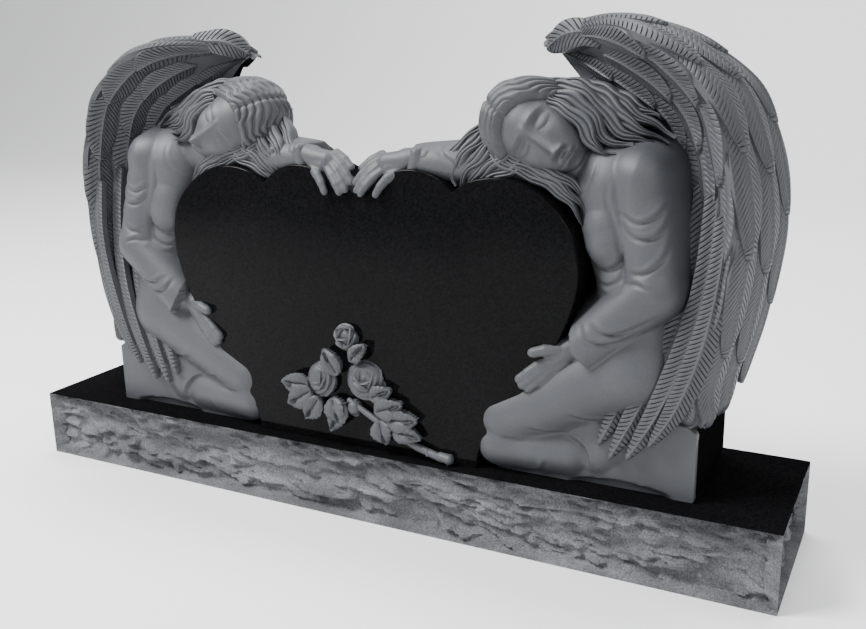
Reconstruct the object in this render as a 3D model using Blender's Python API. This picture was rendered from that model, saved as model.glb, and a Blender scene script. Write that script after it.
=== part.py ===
"""Angel headstone: a carved upright tablet on a rock-pitched base.

Two kneeling angels face each other across a double-heart panel, with a spray of roses at its foot.
Metres, Z up, X to the right, the carved face towards -Y. The origin is the middle of the underside.
"""
import math

import bmesh
import bpy
import numpy as np
from mathutils import noise, Vector

# Base slab
BASE_WIDTH = 1.524
BASE_DEPTH = 0.302
BASE_HEIGHT = 0.135
PITCH_DEPTH = 0.014
PITCH_STEP = 0.040

# Carved tablet
TABLET_WIDTH = 1.366
TABLET_HEIGHT = 0.750
TABLET_BACK = 0.125
TABLET_OFFSET = 0.015
PANEL_FRONT = 0.122
PANEL_EDGE = 0.014
BED_FRONT = 0.094
PROUDEST = 0.146
RIM_FRONT = 0.118
HOLLOW_BACK = 0.020
SIDE_FLARE = 0.042
WING_LIFT = {-1: -0.008, 1: 0.008}

# Fits and fineness
BED_GAP = 0.0003
CARVING_STEP = 0.0066
TABLET_FACES = 7800
CUT_MARGIN = 0.05

FOOT = BASE_HEIGHT + BED_GAP
FAR = 9.0


def clear_scene():
    for thing in list(bpy.data.objects):
        bpy.data.objects.remove(thing, do_unlink=True)


def stone(name, colour, roughness):
    """A plain Principled stone."""
    material = bpy.data.materials.new(name)
    material.use_nodes = True
    shader = material.node_tree.nodes["Principled BSDF"]
    shader.inputs["Base Color"].default_value = (*colour, 1.0)
    shader.inputs["Roughness"].default_value = roughness
    shader.inputs["Metallic"].default_value = 0.0
    return material


def finish_object(name, bm, material):
    mesh = bpy.data.meshes.new(name)
    bm.to_mesh(mesh)
    bm.free()
    thing = bpy.data.objects.new(name, mesh)
    bpy.context.scene.collection.objects.link(thing)
    mesh.materials.append(material)
    return thing


# Curves and distances on the drawing sheet

def curve(points, steps=5):
    """A smooth line through the points."""
    ends = [points[0], *points, points[-1]]
    line = []
    for i in range(len(points) - 1):
        p0, p1, p2, p3 = (np.array(ends[i + k], float) for k in range(4))
        for k in range(steps):
            t = k / steps
            line.append(0.5 * (2 * p1 + (p2 - p0) * t + (2 * p0 - 5 * p1 + 4 * p2 - p3) * t ** 2
                               + (3 * p1 - p0 - 3 * p2 + p3) * t ** 3))
    line.append(np.array(points[-1], float))
    return np.array(line)


def bow(a, b, sag, steps=8):
    """A shallow arc from a to b whose middle stands off by sag to the left of the way."""
    a = np.array(a, float)
    b = np.array(b, float)
    t = np.linspace(0.0, 1.0, steps + 1)[:, None]
    side = np.array([-(b - a)[1], (b - a)[0]]) / np.linalg.norm(b - a)
    return a + (b - a) * t + side * sag * 4 * t * (1 - t)


def along(x, z, a, b):
    """Share of the way from a to b and the distance off it, with its side."""
    a = np.array(a, float)
    b = np.array(b, float)
    way = b - a
    length = np.linalg.norm(way)
    t = ((x - a[0]) * way[0] + (z - a[1]) * way[1]) / length ** 2
    tc = np.clip(t, 0.0, 1.0)
    off = np.hypot(x - a[0] - way[0] * tc, z - a[1] - way[1] * tc)
    side = ((x - a[0]) * -way[1] + (z - a[1]) * way[0]) / length
    return t, off, side


def line_distance(x, z, line):
    nearest = np.full(x.shape, FAR)
    for a, b in zip(line[:-1], line[1:]):
        nearest = np.minimum(nearest, along(x, z, a, b)[1])
    return nearest


def inside(x, z, ring):
    """True where a point is inside the closed ring."""
    hit = np.zeros(x.shape, bool)
    for a, b in zip(ring, np.roll(ring, -1, axis=0)):
        if a[1] == b[1]:
            continue
        crosses = (a[1] > z) != (b[1] > z)
        hit ^= crosses & (x < (b[0] - a[0]) * (z - a[1]) / (b[1] - a[1]) + a[0])
    return hit


def step(low, high, value):
    t = np.clip((value - low) / (high - low), 0.0, 1.0)
    return t * t * (3 - 2 * t)


def blend(a, b, width):
    """The nearer of two surfaces, run together over a width."""
    h = np.clip(0.5 + 0.5 * (b - a) / width, 0.0, 1.0)
    mixed = b + (a - b) * h - width * h * (1 - h)
    return np.where((a > 1) | (b > 1), np.minimum(a, b), mixed)


# Carved forms: each gives the y of its front, FAR where the form isn't

def limb(x, z, a, b, radius_a, radius_b, heart_a, heart_b, squash=1.0):
    """A round tapered form from a to b whose core runs at depth heart_a to heart_b."""
    t, off, side = along(x, z, a, b)
    tc = np.clip(t, 0.0, 1.0)
    radius = radius_a + (radius_b - radius_a) * tc
    core = heart_a + (heart_b - heart_a) * tc
    rise = np.sqrt(np.maximum(radius ** 2 - off ** 2, 0.0)) * squash
    return np.where(off < radius, core - rise, FAR)


def leaf(x, z, base, tip, width, bend=0.0):
    """How far up its own height a leaf-shaped blade stands, and the share along it; 0 outside."""
    t, off, side = along(x, z, base, tip)
    side = side - bend * 4 * t * (1 - t)
    half = 0.5 * width * np.clip(np.sin(math.pi * np.clip(t, 0, 1) ** 0.75), 0, 1) ** 0.6
    within = (t > 0) & (t < 1) & (np.abs(side) < half)
    body = np.where(within, 1 - (side / np.maximum(half, 1e-6)) ** 2, 0.0)
    rib = np.exp(-(side / (0.06 * width)) ** 2)
    return np.where(within, body ** 0.5 * (0.85 + 0.15 * rib), 0.0), np.clip(t, 0, 1)


def groove(x, z, line, width, depth):
    return depth * np.exp(-(line_distance(x, z, line) / width) ** 2)


# The outline of the stone. The carving is a drawing in shares of the finished stone: its points are
# across from the centre line and up from the foot, and it is stretched with the stone.

# Each point is across, up and the depth at which the stone's back edge passes it.
WING_BACK = [
    (0.572, 0.100, 0.125), (0.618, 0.141, 0.125), (0.655, 0.245, 0.125), (0.677, 0.362, 0.125),
    (0.683, 0.445, 0.125), (0.671, 0.539, 0.118), (0.634, 0.640, 0.092), (0.574, 0.706, 0.055),
    (0.510, 0.738, 0.026), (0.440, 0.749, 0.018), (0.375, 0.746, 0.032), (0.322, 0.735, 0.044),
    (0.297, 0.720, 0.048),
]
WING_UNDER = [
    (0.297, 0.720, 0.048), (0.302, 0.707, 0.050), (0.330, 0.686, 0.050), (0.358, 0.663, 0.050),
    (0.372, 0.648, 0.048),
]
HEAD_TOP = [
    (0.372, 0.648, 0.048), (0.345, 0.650, 0.010), (0.300, 0.656, -0.004), (0.262, 0.655, -0.008),
    (0.225, 0.643, -0.010), (0.198, 0.618, -0.012), (0.188, 0.588, -0.020), (0.192, 0.563, -0.045),
]
ARM_TOP = [
    (0.192, 0.563, -0.045), (0.150, 0.560, -0.055), (0.100, 0.555, -0.062), (0.060, 0.543, -0.066),
    (0.028, 0.527, -0.060), (0.0, 0.521, -0.056),
]
SHEET_WIDTH = 2 * max(p[0] for p in WING_BACK)
SHEET_HEIGHT = max(p[1] for p in WING_BACK) + 0.001
ACROSS = TABLET_WIDTH / SHEET_WIDTH
UP = TABLET_HEIGHT / SHEET_HEIGHT
BLOCK_SIDE = 0.602
BLOCK_TOP = 0.115
NOTCH = (0.574, 0.138, 0.125)
BACK_SLOPE = 1.7
THINNEST = 0.016


def wing_lift(x, z, side):
    """One wing was carved a little taller than the other."""
    return WING_LIFT[side] * step(0.52, 0.74, z)


def half_outline(front):
    """The outline from the foot, up the outer side and over to the centre line."""
    flare = SIDE_FLARE if front else 0.0
    wing = []
    for x, z, edge in curve([NOTCH, *WING_BACK[1:]], 4):
        share = step(0.30, 0.60, x) * step(0.10, 0.20, z)
        wing.append((x - flare * share, z, edge))
    rest = [curve(part, 3)[1:] for part in (WING_UNDER, HEAD_TOP, ARM_TOP)]
    block = [(BLOCK_SIDE, 0.0, TABLET_BACK), (BLOCK_SIDE, BLOCK_TOP, TABLET_BACK)]
    return np.vstack([block, wing, *rest])


def outline(front):
    """Both halves, right then left, as one ring from the right foot."""
    right = half_outline(front)
    left = right[:-1][::-1].copy()
    right[:, 1] += wing_lift(right[:, 0], right[:, 1], 1)
    left[:, 1] += wing_lift(left[:, 0], left[:, 1], -1)
    left[:, 0] *= -1
    return np.vstack([right, left])


def stone_back(x, z):
    """Depth of the plain back: flat, and falling forward to the edges of the arms, heads and wing tips."""
    u = np.abs(x)
    depth = np.full(x.shape, TABLET_BACK)
    line = half_outline(False)[2:]
    for a, b in zip(line[:-1], line[1:]):
        t, off, side = along(u, z, a[:2], b[:2])
        edge = a[2] + (b[2] - a[2]) * np.clip(t, 0.0, 1.0)
        depth = np.minimum(depth, edge + BACK_SLOPE * off)
    return depth


def place(point, y):
    return Vector((TABLET_OFFSET + point[0] * ACROSS, y, FOOT + point[1] * UP))


def stone_block(front, back):
    """The tablet sawn to its outline, its wing sides flaring out towards the back."""
    bm = bmesh.new()
    for depth in (front, back):
        share = (TABLET_BACK - depth) / (TABLET_BACK + RIM_FRONT)
        ring = outline(False) + (outline(True) - outline(False)) * share
        bm.faces.new([bm.verts.new(place(p, depth)) for p in ring])
    bmesh.ops.bridge_loops(bm, edges=bm.edges[:])
    bmesh.ops.recalc_face_normals(bm, faces=bm.faces[:])
    return bm


# The double-heart panel

HEART_INNER = [(0.0, 0.470), (0.030, 0.488), (0.070, 0.507), (0.115, 0.515), (0.158, 0.504), (0.190, 0.480)]
HEART_OUTER = [(0.190, 0.480), (0.220, 0.499), (0.262, 0.507), (0.312, 0.500), (0.360, 0.471),
               (0.395, 0.430), (0.409, 0.380), (0.407, 0.330), (0.388, 0.270), (0.345, 0.190),
               (0.285, 0.110), (0.240, 0.040), (0.232, -0.050)]


def heart_ring():
    half = np.vstack([curve(HEART_INNER, 4)[:-1], curve(HEART_OUTER, 4)])
    other = half[1:][::-1] * (-1, 1)
    return np.vstack([half, other])


def heart_panel(x, z):
    """The flat polished panel with its rounded edge."""
    ring = heart_ring()
    depth = line_distance(x, z, np.vstack([ring, ring[:1]]))
    short = np.clip(1 - depth / PANEL_EDGE, 0.0, 1.0)
    drop = PANEL_EDGE * (1 - np.sqrt(1 - short ** 2))
    beside = (depth < 0.06) & (z < 0.515)
    return np.where(inside(x, z, ring), -PANEL_FRONT + drop, np.where(beside, -BED_FRONT, FAR))


# The angel, drawn for the right-hand side

HEAD = (0.296, 0.578)
HEAD_CORE = -0.030
NECK = (0.405, 0.515)
SHOULDER = (0.490, 0.510)
ELBOW = (0.512, 0.338)
WRIST = (0.400, 0.240)
CHEST = (0.452, 0.490)
WAIST = (0.486, 0.330)
HIP = (0.490, 0.175)
KNEE = (0.312, 0.077)
SHIN = (0.290, 0.045)
HEM = (0.545, 0.050)
SLEEVE = (0.340, 0.524)
CUFF = (0.125, 0.524)

FOLDS = [
    ((0.395, 0.440), (0.455, 0.415), -0.012), ((0.400, 0.420), (0.450, 0.398), -0.010),
    ((0.470, 0.520), (0.520, 0.440), 0.014), ((0.505, 0.420), (0.548, 0.395), -0.010),
    ((0.500, 0.395), (0.545, 0.365), -0.010), ((0.455, 0.345), (0.520, 0.330), -0.014),
    ((0.420, 0.300), (0.500, 0.290), -0.014), ((0.430, 0.215), (0.520, 0.230), -0.012),
    ((0.480, 0.160), (0.545, 0.190), -0.012), ((0.420, 0.110), (0.510, 0.150), -0.012),
    ((0.345, 0.030), (0.460, 0.065), 0.022), ((0.380, 0.020), (0.440, 0.045), 0.012),
]
SLEEVE_FOLDS = [
    ((0.150, 0.556), (0.135, 0.495), 0.006), ((0.185, 0.552), (0.160, 0.500), 0.012),
    ((0.225, 0.550), (0.190, 0.515), 0.010),
]
HAIR = [
    ((0.215, 0.560), (0.245, 0.515), (0.300, 0.509)), ((0.240, 0.535), (0.290, 0.520), (0.345, 0.512)),
    ((0.375, 0.610), (0.425, 0.570), (0.455, 0.520)), ((0.380, 0.585), (0.420, 0.545), (0.430, 0.500)),
    ((0.360, 0.625), (0.420, 0.600), (0.480, 0.545)), ((0.345, 0.535), (0.385, 0.510), (0.400, 0.470)),
]
FINGERS = 4
UPPER_HAND = {"wrist": (0.118, 0.522), "knuckles": (0.078, 0.512), "tip": (0.040, 0.484), "spread": 0.013,
              "thumb": (0.052, 0.475), "core": -0.118}
LOWER_HAND = {"wrist": (0.405, 0.236), "knuckles": (0.372, 0.215), "tip": (0.326, 0.170), "spread": 0.013,
              "thumb": (0.322, 0.222), "core": -0.116}


def gown(x, z):
    """Trunk, thigh, folded leg and the outer arm under one cloth."""
    cloth = limb(x, z, CHEST, WAIST, 0.082, 0.066, -0.040, -0.045)
    cloth = blend(cloth, limb(x, z, WAIST, HIP, 0.070, 0.098, -0.045, -0.030), 0.03)
    cloth = blend(cloth, limb(x, z, HIP, KNEE, 0.096, 0.066, -0.034, -0.066), 0.03)
    cloth = blend(cloth, limb(x, z, SHIN, HEM, 0.052, 0.056, -0.070, -0.060), 0.03)
    cloth = blend(cloth, limb(x, z, (0.490, 0.080), (0.545, -0.020), 0.075, 0.060, -0.040, -0.060), 0.04)
    cloth = np.where((z < 0.060) & (x > 0.22), np.minimum(cloth, -BED_FRONT), cloth)
    cloth = blend(cloth, limb(x, z, (0.432, 0.462), (0.446, 0.452), 0.044, 0.040, -0.088, -0.086), 0.02)
    cloth = blend(cloth, limb(x, z, SHOULDER, ELBOW, 0.055, 0.050, -0.062, -0.078), 0.02)
    cloth = blend(cloth, limb(x, z, NECK, SHOULDER, 0.046, 0.052, -0.040, -0.062), 0.02)
    sleeve = limb(x, z, ELBOW, WRIST, 0.056, 0.038, -0.082, -0.098)
    drop = limb(x, z, (0.440, 0.245), (0.436, 0.202), 0.034, 0.010, -0.090, -0.112)
    cloth = np.minimum(cloth, blend(sleeve, drop, 0.012))
    for start, end, sag in FOLDS:
        cloth = np.where(cloth < 1, cloth + groove(x, z, bow(start, end, sag), 0.006, 0.007), cloth)
    return cloth


def hand(x, z, wrist, knuckles, tip, spread, thumb, core):
    """A relaxed hand: back, four fingers side by side and a thumb."""
    form = limb(x, z, wrist, knuckles, 0.021, 0.025, core + 0.008, core)
    way = np.array(tip) - np.array(knuckles)
    across = np.array((-way[1], way[0])) / np.linalg.norm(way)
    for i in range(FINGERS):
        shift = across * spread * (i - (FINGERS - 1) / 2)
        reach = 1.0 - 0.10 * abs(i - 1.2)
        end = np.array(knuckles) + shift * 1.2 + way * reach
        form = blend(form, limb(x, z, np.array(knuckles) + shift, end, 0.0085, 0.0070, core, core), 0.004)
    return blend(form, limb(x, z, wrist, thumb, 0.012, 0.008, core, core - 0.004), 0.006)


def head(x, z):
    """Skull leaning to the centre, hair drawn back from a parting and lying in locks."""
    hair = limb(x, z, (0.266, 0.584), (0.345, 0.580), 0.080, 0.076, HEAD_CORE, HEAD_CORE + 0.004)
    turn = np.arctan2(z - 0.545, x - 0.320)
    waves = 0.0040 * np.sin(turn * 24 + 30 * np.hypot(x - 0.320, z - 0.545))
    brow = limb(x, z, (0.298, 0.580), (0.325, 0.566), 0.052, 0.052, HEAD_CORE - 0.044, HEAD_CORE - 0.046)
    jaw = limb(x, z, (0.330, 0.560), (0.368, 0.530), 0.046, 0.027, HEAD_CORE - 0.052, HEAD_CORE - 0.062)
    nose = limb(x, z, (0.318, 0.572), (0.338, 0.555), 0.007, 0.011, HEAD_CORE - 0.094, HEAD_CORE - 0.100)
    form = np.where(hair < 1, hair + waves, hair)
    form = np.minimum(form, blend(blend(brow, jaw, 0.015), nose, 0.008))
    for points in HAIR:
        line = curve(points, 4)
        for a, b in zip(line[:-1], line[1:]):
            form = blend(form, limb(x, z, a, b, 0.016, 0.015, -0.090, -0.092), 0.006)
    return form


# The wing

FEATHER_ROWS = [
    # inset of the row, pitch along it, blade length, blade width, lift of its tip
    (0.165, 0.062, 0.170, 0.062, 0.014),
    (0.118, 0.060, 0.160, 0.060, 0.018),
    (0.072, 0.056, 0.140, 0.056, 0.020),
    (0.028, 0.050, 0.110, 0.050, 0.018),
]
ROW_START = 0.06
ROW_END = 0.20
BLADE_OUTWARD = 0.022
PRIMARIES = [(0.480, 0.290), (0.515, 0.330), (0.548, 0.360), (0.578, 0.380), (0.602, 0.380)]
PRIMARY_TIPS = [(0.440, 0.090), (0.474, 0.062), (0.506, 0.042), (0.538, 0.050), (0.566, 0.085)]


def wing(x, z):
    """A hollow wing behind the figure: a high rim, rows of blades and long primaries."""
    ridge = half_outline(True)[2:, :2]
    ridge = ridge[:4 * (len(WING_BACK) - 1)]
    depth = line_distance(x, z, ridge)
    turn_back = step(0.30, 0.54, x)
    rim = 0.005 - (RIM_FRONT + 0.005) * turn_back
    surface = rim + (HOLLOW_BACK - rim) * step(0.014, 0.150, depth)
    surface = surface + 0.010 * np.clip(1 - depth / 0.016, 0, 1) ** 2
    foot = -BED_FRONT + 0.010 * step(0.10, 0.30, z)
    surface = np.where((z < 0.30) & (x > 0.40), np.minimum(surface, foot), surface)
    relief = np.zeros(x.shape)
    distance = np.concatenate([[0.0], np.cumsum(np.hypot(*np.diff(ridge, axis=0).T))])
    length_of_rim = distance[-1]
    for inset, pitch, length, width, lift in FEATHER_ROWS:
        for i in range(int((length_of_rim - ROW_START - ROW_END) / pitch)):
            spot = length_of_rim - ROW_START - i * pitch
            p = np.array([np.interp(spot, distance, ridge[:, k]) for k in (0, 1)])
            q = np.array([np.interp(spot - length / 2, distance, ridge[:, k]) for k in (0, 1)])
            onward = (q - p) / np.linalg.norm(q - p)
            inward = np.array((onward[1], -onward[0]))
            start = p + inward * inset
            body, t = leaf(x, z, start, start + onward * length - inward * BLADE_OUTWARD, width)
            relief = np.maximum(relief, body * (0.005 + lift * t))
    relief = relief * step(0.0, 0.022, depth)
    for start, tip in zip(PRIMARIES, PRIMARY_TIPS):
        body, t = leaf(x, z, start, tip, 0.050)
        relief = np.maximum(relief, body * 0.020)
    return surface - relief


# The roses

ROSES = [
    ((0.010, 0.165), 0.046), ((-0.100, 0.120), 0.042), ((-0.006, 0.248), 0.022), ((-0.055, 0.055), 0.022),
]
LEAVES = [
    ((-0.115, 0.100), (-0.175, 0.060), 0.050), ((-0.130, 0.085), (-0.128, 0.020), 0.044),
    ((-0.140, 0.095), (-0.195, 0.100), 0.040), ((-0.010, 0.120), (-0.005, 0.060), 0.042),
    ((0.045, 0.105), (0.020, 0.050), 0.040), ((0.070, 0.100), (0.128, 0.145), 0.050),
    ((0.090, 0.085), (0.155, 0.095), 0.046), ((-0.050, 0.160), (-0.020, 0.225), 0.046),
    ((0.040, 0.200), (0.012, 0.262), 0.036), ((-0.060, 0.130), (-0.050, 0.195), 0.048),
]
STEM = [(0.030, 0.120), (0.085, 0.075), (0.150, 0.045), (0.205, 0.022)]
BUD_STEM = [(-0.006, 0.240), (-0.004, 0.205), (0.006, 0.170)]


def rose(x, z, centre, radius):
    """A rose seen from the front: a cupped dome cut by a winding petal edge."""
    dx = x - centre[0]
    dz = z - centre[1]
    r = np.hypot(dx, dz)
    turn = np.arctan2(dz, dx)
    edge = radius * (1 + 0.06 * np.cos(5 * turn))
    dome = np.sqrt(np.maximum(1 - (r / edge) ** 2, 0.0))
    winding = np.mod(r / radius * 3.0 - turn / (2 * math.pi), 1.0)
    height = 0.005 + 0.012 * dome + 0.006 * winding * dome
    return np.where(r < edge, -PANEL_FRONT - height, FAR)


def flowers(x, z):
    form = np.full(x.shape, FAR)
    core = -PANEL_FRONT - 0.002
    for line, radius in ((STEM, 0.0085), (BUD_STEM, 0.008)):
        route = curve(line, 4)
        for a, b in zip(route[:-1], route[1:]):
            form = np.minimum(form, limb(x, z, a, b, radius, radius, core, core))
    for base, tip, width in LEAVES:
        body, t = leaf(x, z, base, tip, width)
        form = np.where(body > 0.05, np.minimum(form, -PANEL_FRONT - 0.004 - 0.008 * body), form)
    for centre, radius in ROSES:
        form = np.minimum(form, rose(x, z, centre, radius))
    return form


def backdrop(u, z):
    """The rounded stone behind the joined arms and the heads, out to the outline."""
    arms = np.where((u < 0.20) & (z > 0.49), -0.078, FAR)
    heads = np.where((u > 0.16) & (u < 0.36) & (z > 0.53) & (z < 0.67), HEAD_CORE, FAR)
    return np.minimum(arms, heads)


def carving(x, z):
    """Depth of the carved front over the whole drawing sheet."""
    u = np.abs(x)
    lifted = z - np.where(x < 0, wing_lift(u, z, -1), wing_lift(u, z, 1))
    front = np.minimum(wing(u, lifted), backdrop(u, z))
    front = np.minimum(front, gown(u, z))
    front = np.minimum(front, head(u, z))
    arm = limb(u, z, SLEEVE, CUFF, 0.044, 0.036, -0.080, -0.088)
    arm = blend(arm, limb(u, z, CUFF, (0.0, 0.512), 0.030, 0.024, -0.085, -0.080), 0.01)
    for start, end, sag in SLEEVE_FOLDS:
        arm = np.where(arm < 1, arm + groove(u, z, bow(start, end, sag), 0.006, 0.006), arm)
    front = np.minimum(front, arm)
    front = np.minimum(front, heart_panel(x, z))
    front = np.minimum(front, hand(u, z, **UPPER_HAND))
    front = np.minimum(front, hand(u, z, **LOWER_HAND))
    return np.maximum(np.minimum(front, flowers(x, z)), -PROUDEST)


def carved_tablet():
    """One stone: the carved front, trimmed to the sawn outline."""
    columns = round((SHEET_WIDTH + 2 * CARVING_STEP) / CARVING_STEP)
    rows = round((SHEET_HEIGHT + 4 * CARVING_STEP) / CARVING_STEP)
    bm = bmesh.new()
    bmesh.ops.create_grid(bm, x_segments=columns, y_segments=rows, size=0.5)
    spots = np.array([v.co[:] for v in bm.verts])
    x = spots[:, 0] * (SHEET_WIDTH + 2 * CARVING_STEP)
    z = (spots[:, 1] + 0.5) * (SHEET_HEIGHT + 4 * CARVING_STEP) - 2 * CARVING_STEP
    depth = carving(x, z)
    for vert, px, pz, y in zip(bm.verts, x, z, depth):
        vert.co = place((px, pz), y)
    copied = bmesh.ops.duplicate(bm, geom=bm.verts[:] + bm.edges[:] + bm.faces[:])
    back = [v for v in copied["geom"] if isinstance(v, bmesh.types.BMVert)]
    for vert, y in zip(back, np.maximum(stone_back(x, z), depth + THINNEST)):
        vert.co.y = y
    bmesh.ops.bridge_loops(bm, edges=[e for e in bm.edges if e.is_boundary])
    bmesh.ops.recalc_face_normals(bm, faces=bm.faces[:])
    tablet = finish_object("carved_tablet", bm, stone("honed_granite", (0.115, 0.120, 0.130), 0.62))

    thin = tablet.modifiers.new("facets", "DECIMATE")
    thin.use_collapse_triangulate = True
    thin.ratio = TABLET_FACES / (4 * columns * rows)

    block = stone_block(-RIM_FRONT - CUT_MARGIN, TABLET_BACK + CUT_MARGIN)
    cutter = finish_object("tablet_outline", block, tablet.active_material)
    cutter.hide_render = True
    cutter.display_type = "WIRE"
    trim = tablet.modifiers.new("outline", "BOOLEAN")
    trim.operation = "INTERSECT"
    trim.solver = "EXACT"
    trim.object = cutter
    return tablet


def base_slab():
    """A sawn slab with a flat top and bed, and split faces all round between two straight arrises."""
    columns = round(BASE_WIDTH / PITCH_STEP)
    rows = round(BASE_DEPTH / PITCH_STEP)
    layers = max(3, round(BASE_HEIGHT / PITCH_STEP) + 1)
    bm = bmesh.new()
    bmesh.ops.create_cube(bm, size=1.0)
    for v in bm.verts:
        v.co = Vector((v.co.x * BASE_WIDTH, v.co.y * BASE_DEPTH, (v.co.z + 0.5) * BASE_HEIGHT))
    for axis, count in ((0, columns), (1, rows), (2, layers)):
        size = (BASE_WIDTH, BASE_DEPTH, BASE_HEIGHT)[axis]
        start = (-BASE_WIDTH / 2, -BASE_DEPTH / 2, 0.0)[axis]
        for i in range(1, count):
            at = Vector((0.0, 0.0, 0.0))
            at[axis] = start + size * i / count
            normal = Vector((0.0, 0.0, 0.0))
            normal[axis] = 1.0
            faces = [f for f in bm.faces if abs(f.normal.z) < 0.5]
            edges = {e for f in faces for e in f.edges}
            verts = {v for f in faces for v in f.verts}
            bmesh.ops.bisect_plane(bm, geom=[*faces, *edges, *verts], plane_co=at, plane_no=normal)
    for v in bm.verts:
        height = v.co.z / BASE_HEIGHT
        if height < 0.001 or height > 0.999:
            continue
        side = abs(v.co.x) > BASE_WIDTH / 2 - 1e-5
        face = abs(v.co.y) > BASE_DEPTH / 2 - 1e-5
        spot = Vector((v.co.x * 9, v.co.y * 9 + 3, v.co.z * 22))
        inward = PITCH_DEPTH * min(1.0, max(0.0, 0.5 + 0.8 * noise.fractal(spot, 0.7, 2.0, 3)))
        if side:
            v.co.x -= math.copysign(inward, v.co.x)
        if face:
            v.co.y -= math.copysign(inward, v.co.y)
    bmesh.ops.recalc_face_normals(bm, faces=bm.faces[:])
    return finish_object("base_slab", bm, stone("split_granite", (0.200, 0.205, 0.215), 0.80))


clear_scene()
base_slab()
carved_tablet()
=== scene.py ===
import math
import bmesh
import bpy
import numpy as np
from mathutils import Matrix, Vector, noise


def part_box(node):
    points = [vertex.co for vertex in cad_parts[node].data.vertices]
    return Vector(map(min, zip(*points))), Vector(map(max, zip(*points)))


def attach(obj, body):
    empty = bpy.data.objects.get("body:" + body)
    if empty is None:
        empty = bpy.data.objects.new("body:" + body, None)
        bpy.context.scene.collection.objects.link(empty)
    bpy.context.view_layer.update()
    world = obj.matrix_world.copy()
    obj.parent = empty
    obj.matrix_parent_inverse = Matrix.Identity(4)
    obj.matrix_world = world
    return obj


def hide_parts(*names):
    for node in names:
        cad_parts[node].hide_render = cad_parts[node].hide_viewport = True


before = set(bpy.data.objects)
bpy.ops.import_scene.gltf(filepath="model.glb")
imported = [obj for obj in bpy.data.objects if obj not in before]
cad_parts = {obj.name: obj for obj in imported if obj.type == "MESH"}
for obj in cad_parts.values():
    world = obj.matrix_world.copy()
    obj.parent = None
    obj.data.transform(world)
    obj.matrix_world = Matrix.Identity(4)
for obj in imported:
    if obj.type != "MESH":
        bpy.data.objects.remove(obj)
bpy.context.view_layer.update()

# The base is one long sawn slab of grey granite. Its top is polished black, and its front, ends and back
# are split with a hammer and pitching tool, which leaves flaky ridges under a straight arris.
base_low, base_high = (Vector(c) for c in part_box("base_slab"))
base_width = base_high.x - base_low.x
base_depth = base_high.y - base_low.y
base_height = base_high.z - base_low.z
split_step = 0.0036
split_depth = 0.0260
foot_fade = 0.06
arris_fade = 0.05
corner_fade = 0.016
arris_chip = 0.0022


def piece_from(name, bm, material, smooth_angle=None, body="root"):
    """Make the mesh a piece of the stone, with its outside turned out."""
    bmesh.ops.recalc_face_normals(bm, faces=bm.faces[:])
    mesh = bpy.data.meshes.new(name)
    bm.to_mesh(mesh)
    bm.free()
    piece = bpy.data.objects.new(name, mesh)
    bpy.context.scene.collection.objects.link(piece)
    mesh.materials.append(material)
    mesh.shade_smooth()
    if smooth_angle:
        mesh.set_sharp_from_angle(angle=math.radians(smooth_angle))
    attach(piece, body)
    return piece


def ramp(nodes, stops):
    """A colour ramp with its stops."""
    node = nodes.new("ShaderNodeValToRGB")
    while len(node.color_ramp.elements) < len(stops):
        node.color_ramp.elements.new(0.5)
    for element, (place, colour) in zip(node.color_ramp.elements, stops):
        element.position = place
        element.color = (*colour, 1.0) if len(colour) == 3 else (colour[0], colour[0], colour[0], 1.0)
    return node


def noise_at(nodes, links, coords, scale, detail=4.0, stretch=(1.0, 1.0, 1.0), roughness=0.55):
    """Noise on the stone's own coordinates, drawn out along an axis where stretch says so."""
    mapping = nodes.new("ShaderNodeMapping")
    mapping.inputs["Scale"].default_value = stretch
    texture = nodes.new("ShaderNodeTexNoise")
    texture.inputs["Scale"].default_value = scale
    texture.inputs["Detail"].default_value = detail
    texture.inputs["Roughness"].default_value = roughness
    links.new(coords.outputs["Object"], mapping.inputs["Vector"])
    links.new(mapping.outputs["Vector"], texture.inputs["Vector"])
    return texture


def granite(name, shades, roughness, crystal=420.0, contrast=0.35, specular=0.5, bump=0.0,
            cloud_scale=3.5, cloud_stretch=(1.0, 1.0, 1.0)):
    """Granite: clouds of tone, fine crystals and the odd bright fleck; the finish sets the gloss."""
    material = bpy.data.materials.new(name)
    material.use_nodes = True
    nodes = material.node_tree.nodes
    links = material.node_tree.links
    shader = nodes["Principled BSDF"]
    coords = nodes.new("ShaderNodeTexCoord")
    clouds = noise_at(nodes, links, coords, cloud_scale, 6.0, cloud_stretch)
    tone = ramp(nodes, [(0.30, shades[0]), (0.52, shades[1]), (0.74, shades[2])])
    links.new(clouds.outputs["Fac"], tone.inputs["Fac"])
    grains = noise_at(nodes, links, coords, crystal, 2.0)
    fleck = ramp(nodes, [(0.34, (1.0 - contrast,)), (0.52, (1.0,)), (0.72, (1.0 + contrast,))])
    links.new(grains.outputs["Fac"], fleck.inputs["Fac"])
    mix = nodes.new("ShaderNodeMix")
    mix.data_type = "RGBA"
    mix.blend_type = "MULTIPLY"
    mix.inputs["Factor"].default_value = 1.0
    links.new(tone.outputs["Color"], mix.inputs["A"])
    links.new(fleck.outputs["Color"], mix.inputs["B"])
    links.new(mix.outputs["Result"], shader.inputs["Base Color"])
    shader.inputs["Roughness"].default_value = roughness
    shader.inputs["Specular IOR Level"].default_value = specular
    if bump:
        lift = nodes.new("ShaderNodeBump")
        lift.inputs["Strength"].default_value = bump
        lift.inputs["Distance"].default_value = 0.0006
        links.new(grains.outputs["Fac"], lift.inputs["Height"])
        links.new(lift.outputs["Normal"], shader.inputs["Normal"])
    return material


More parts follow.
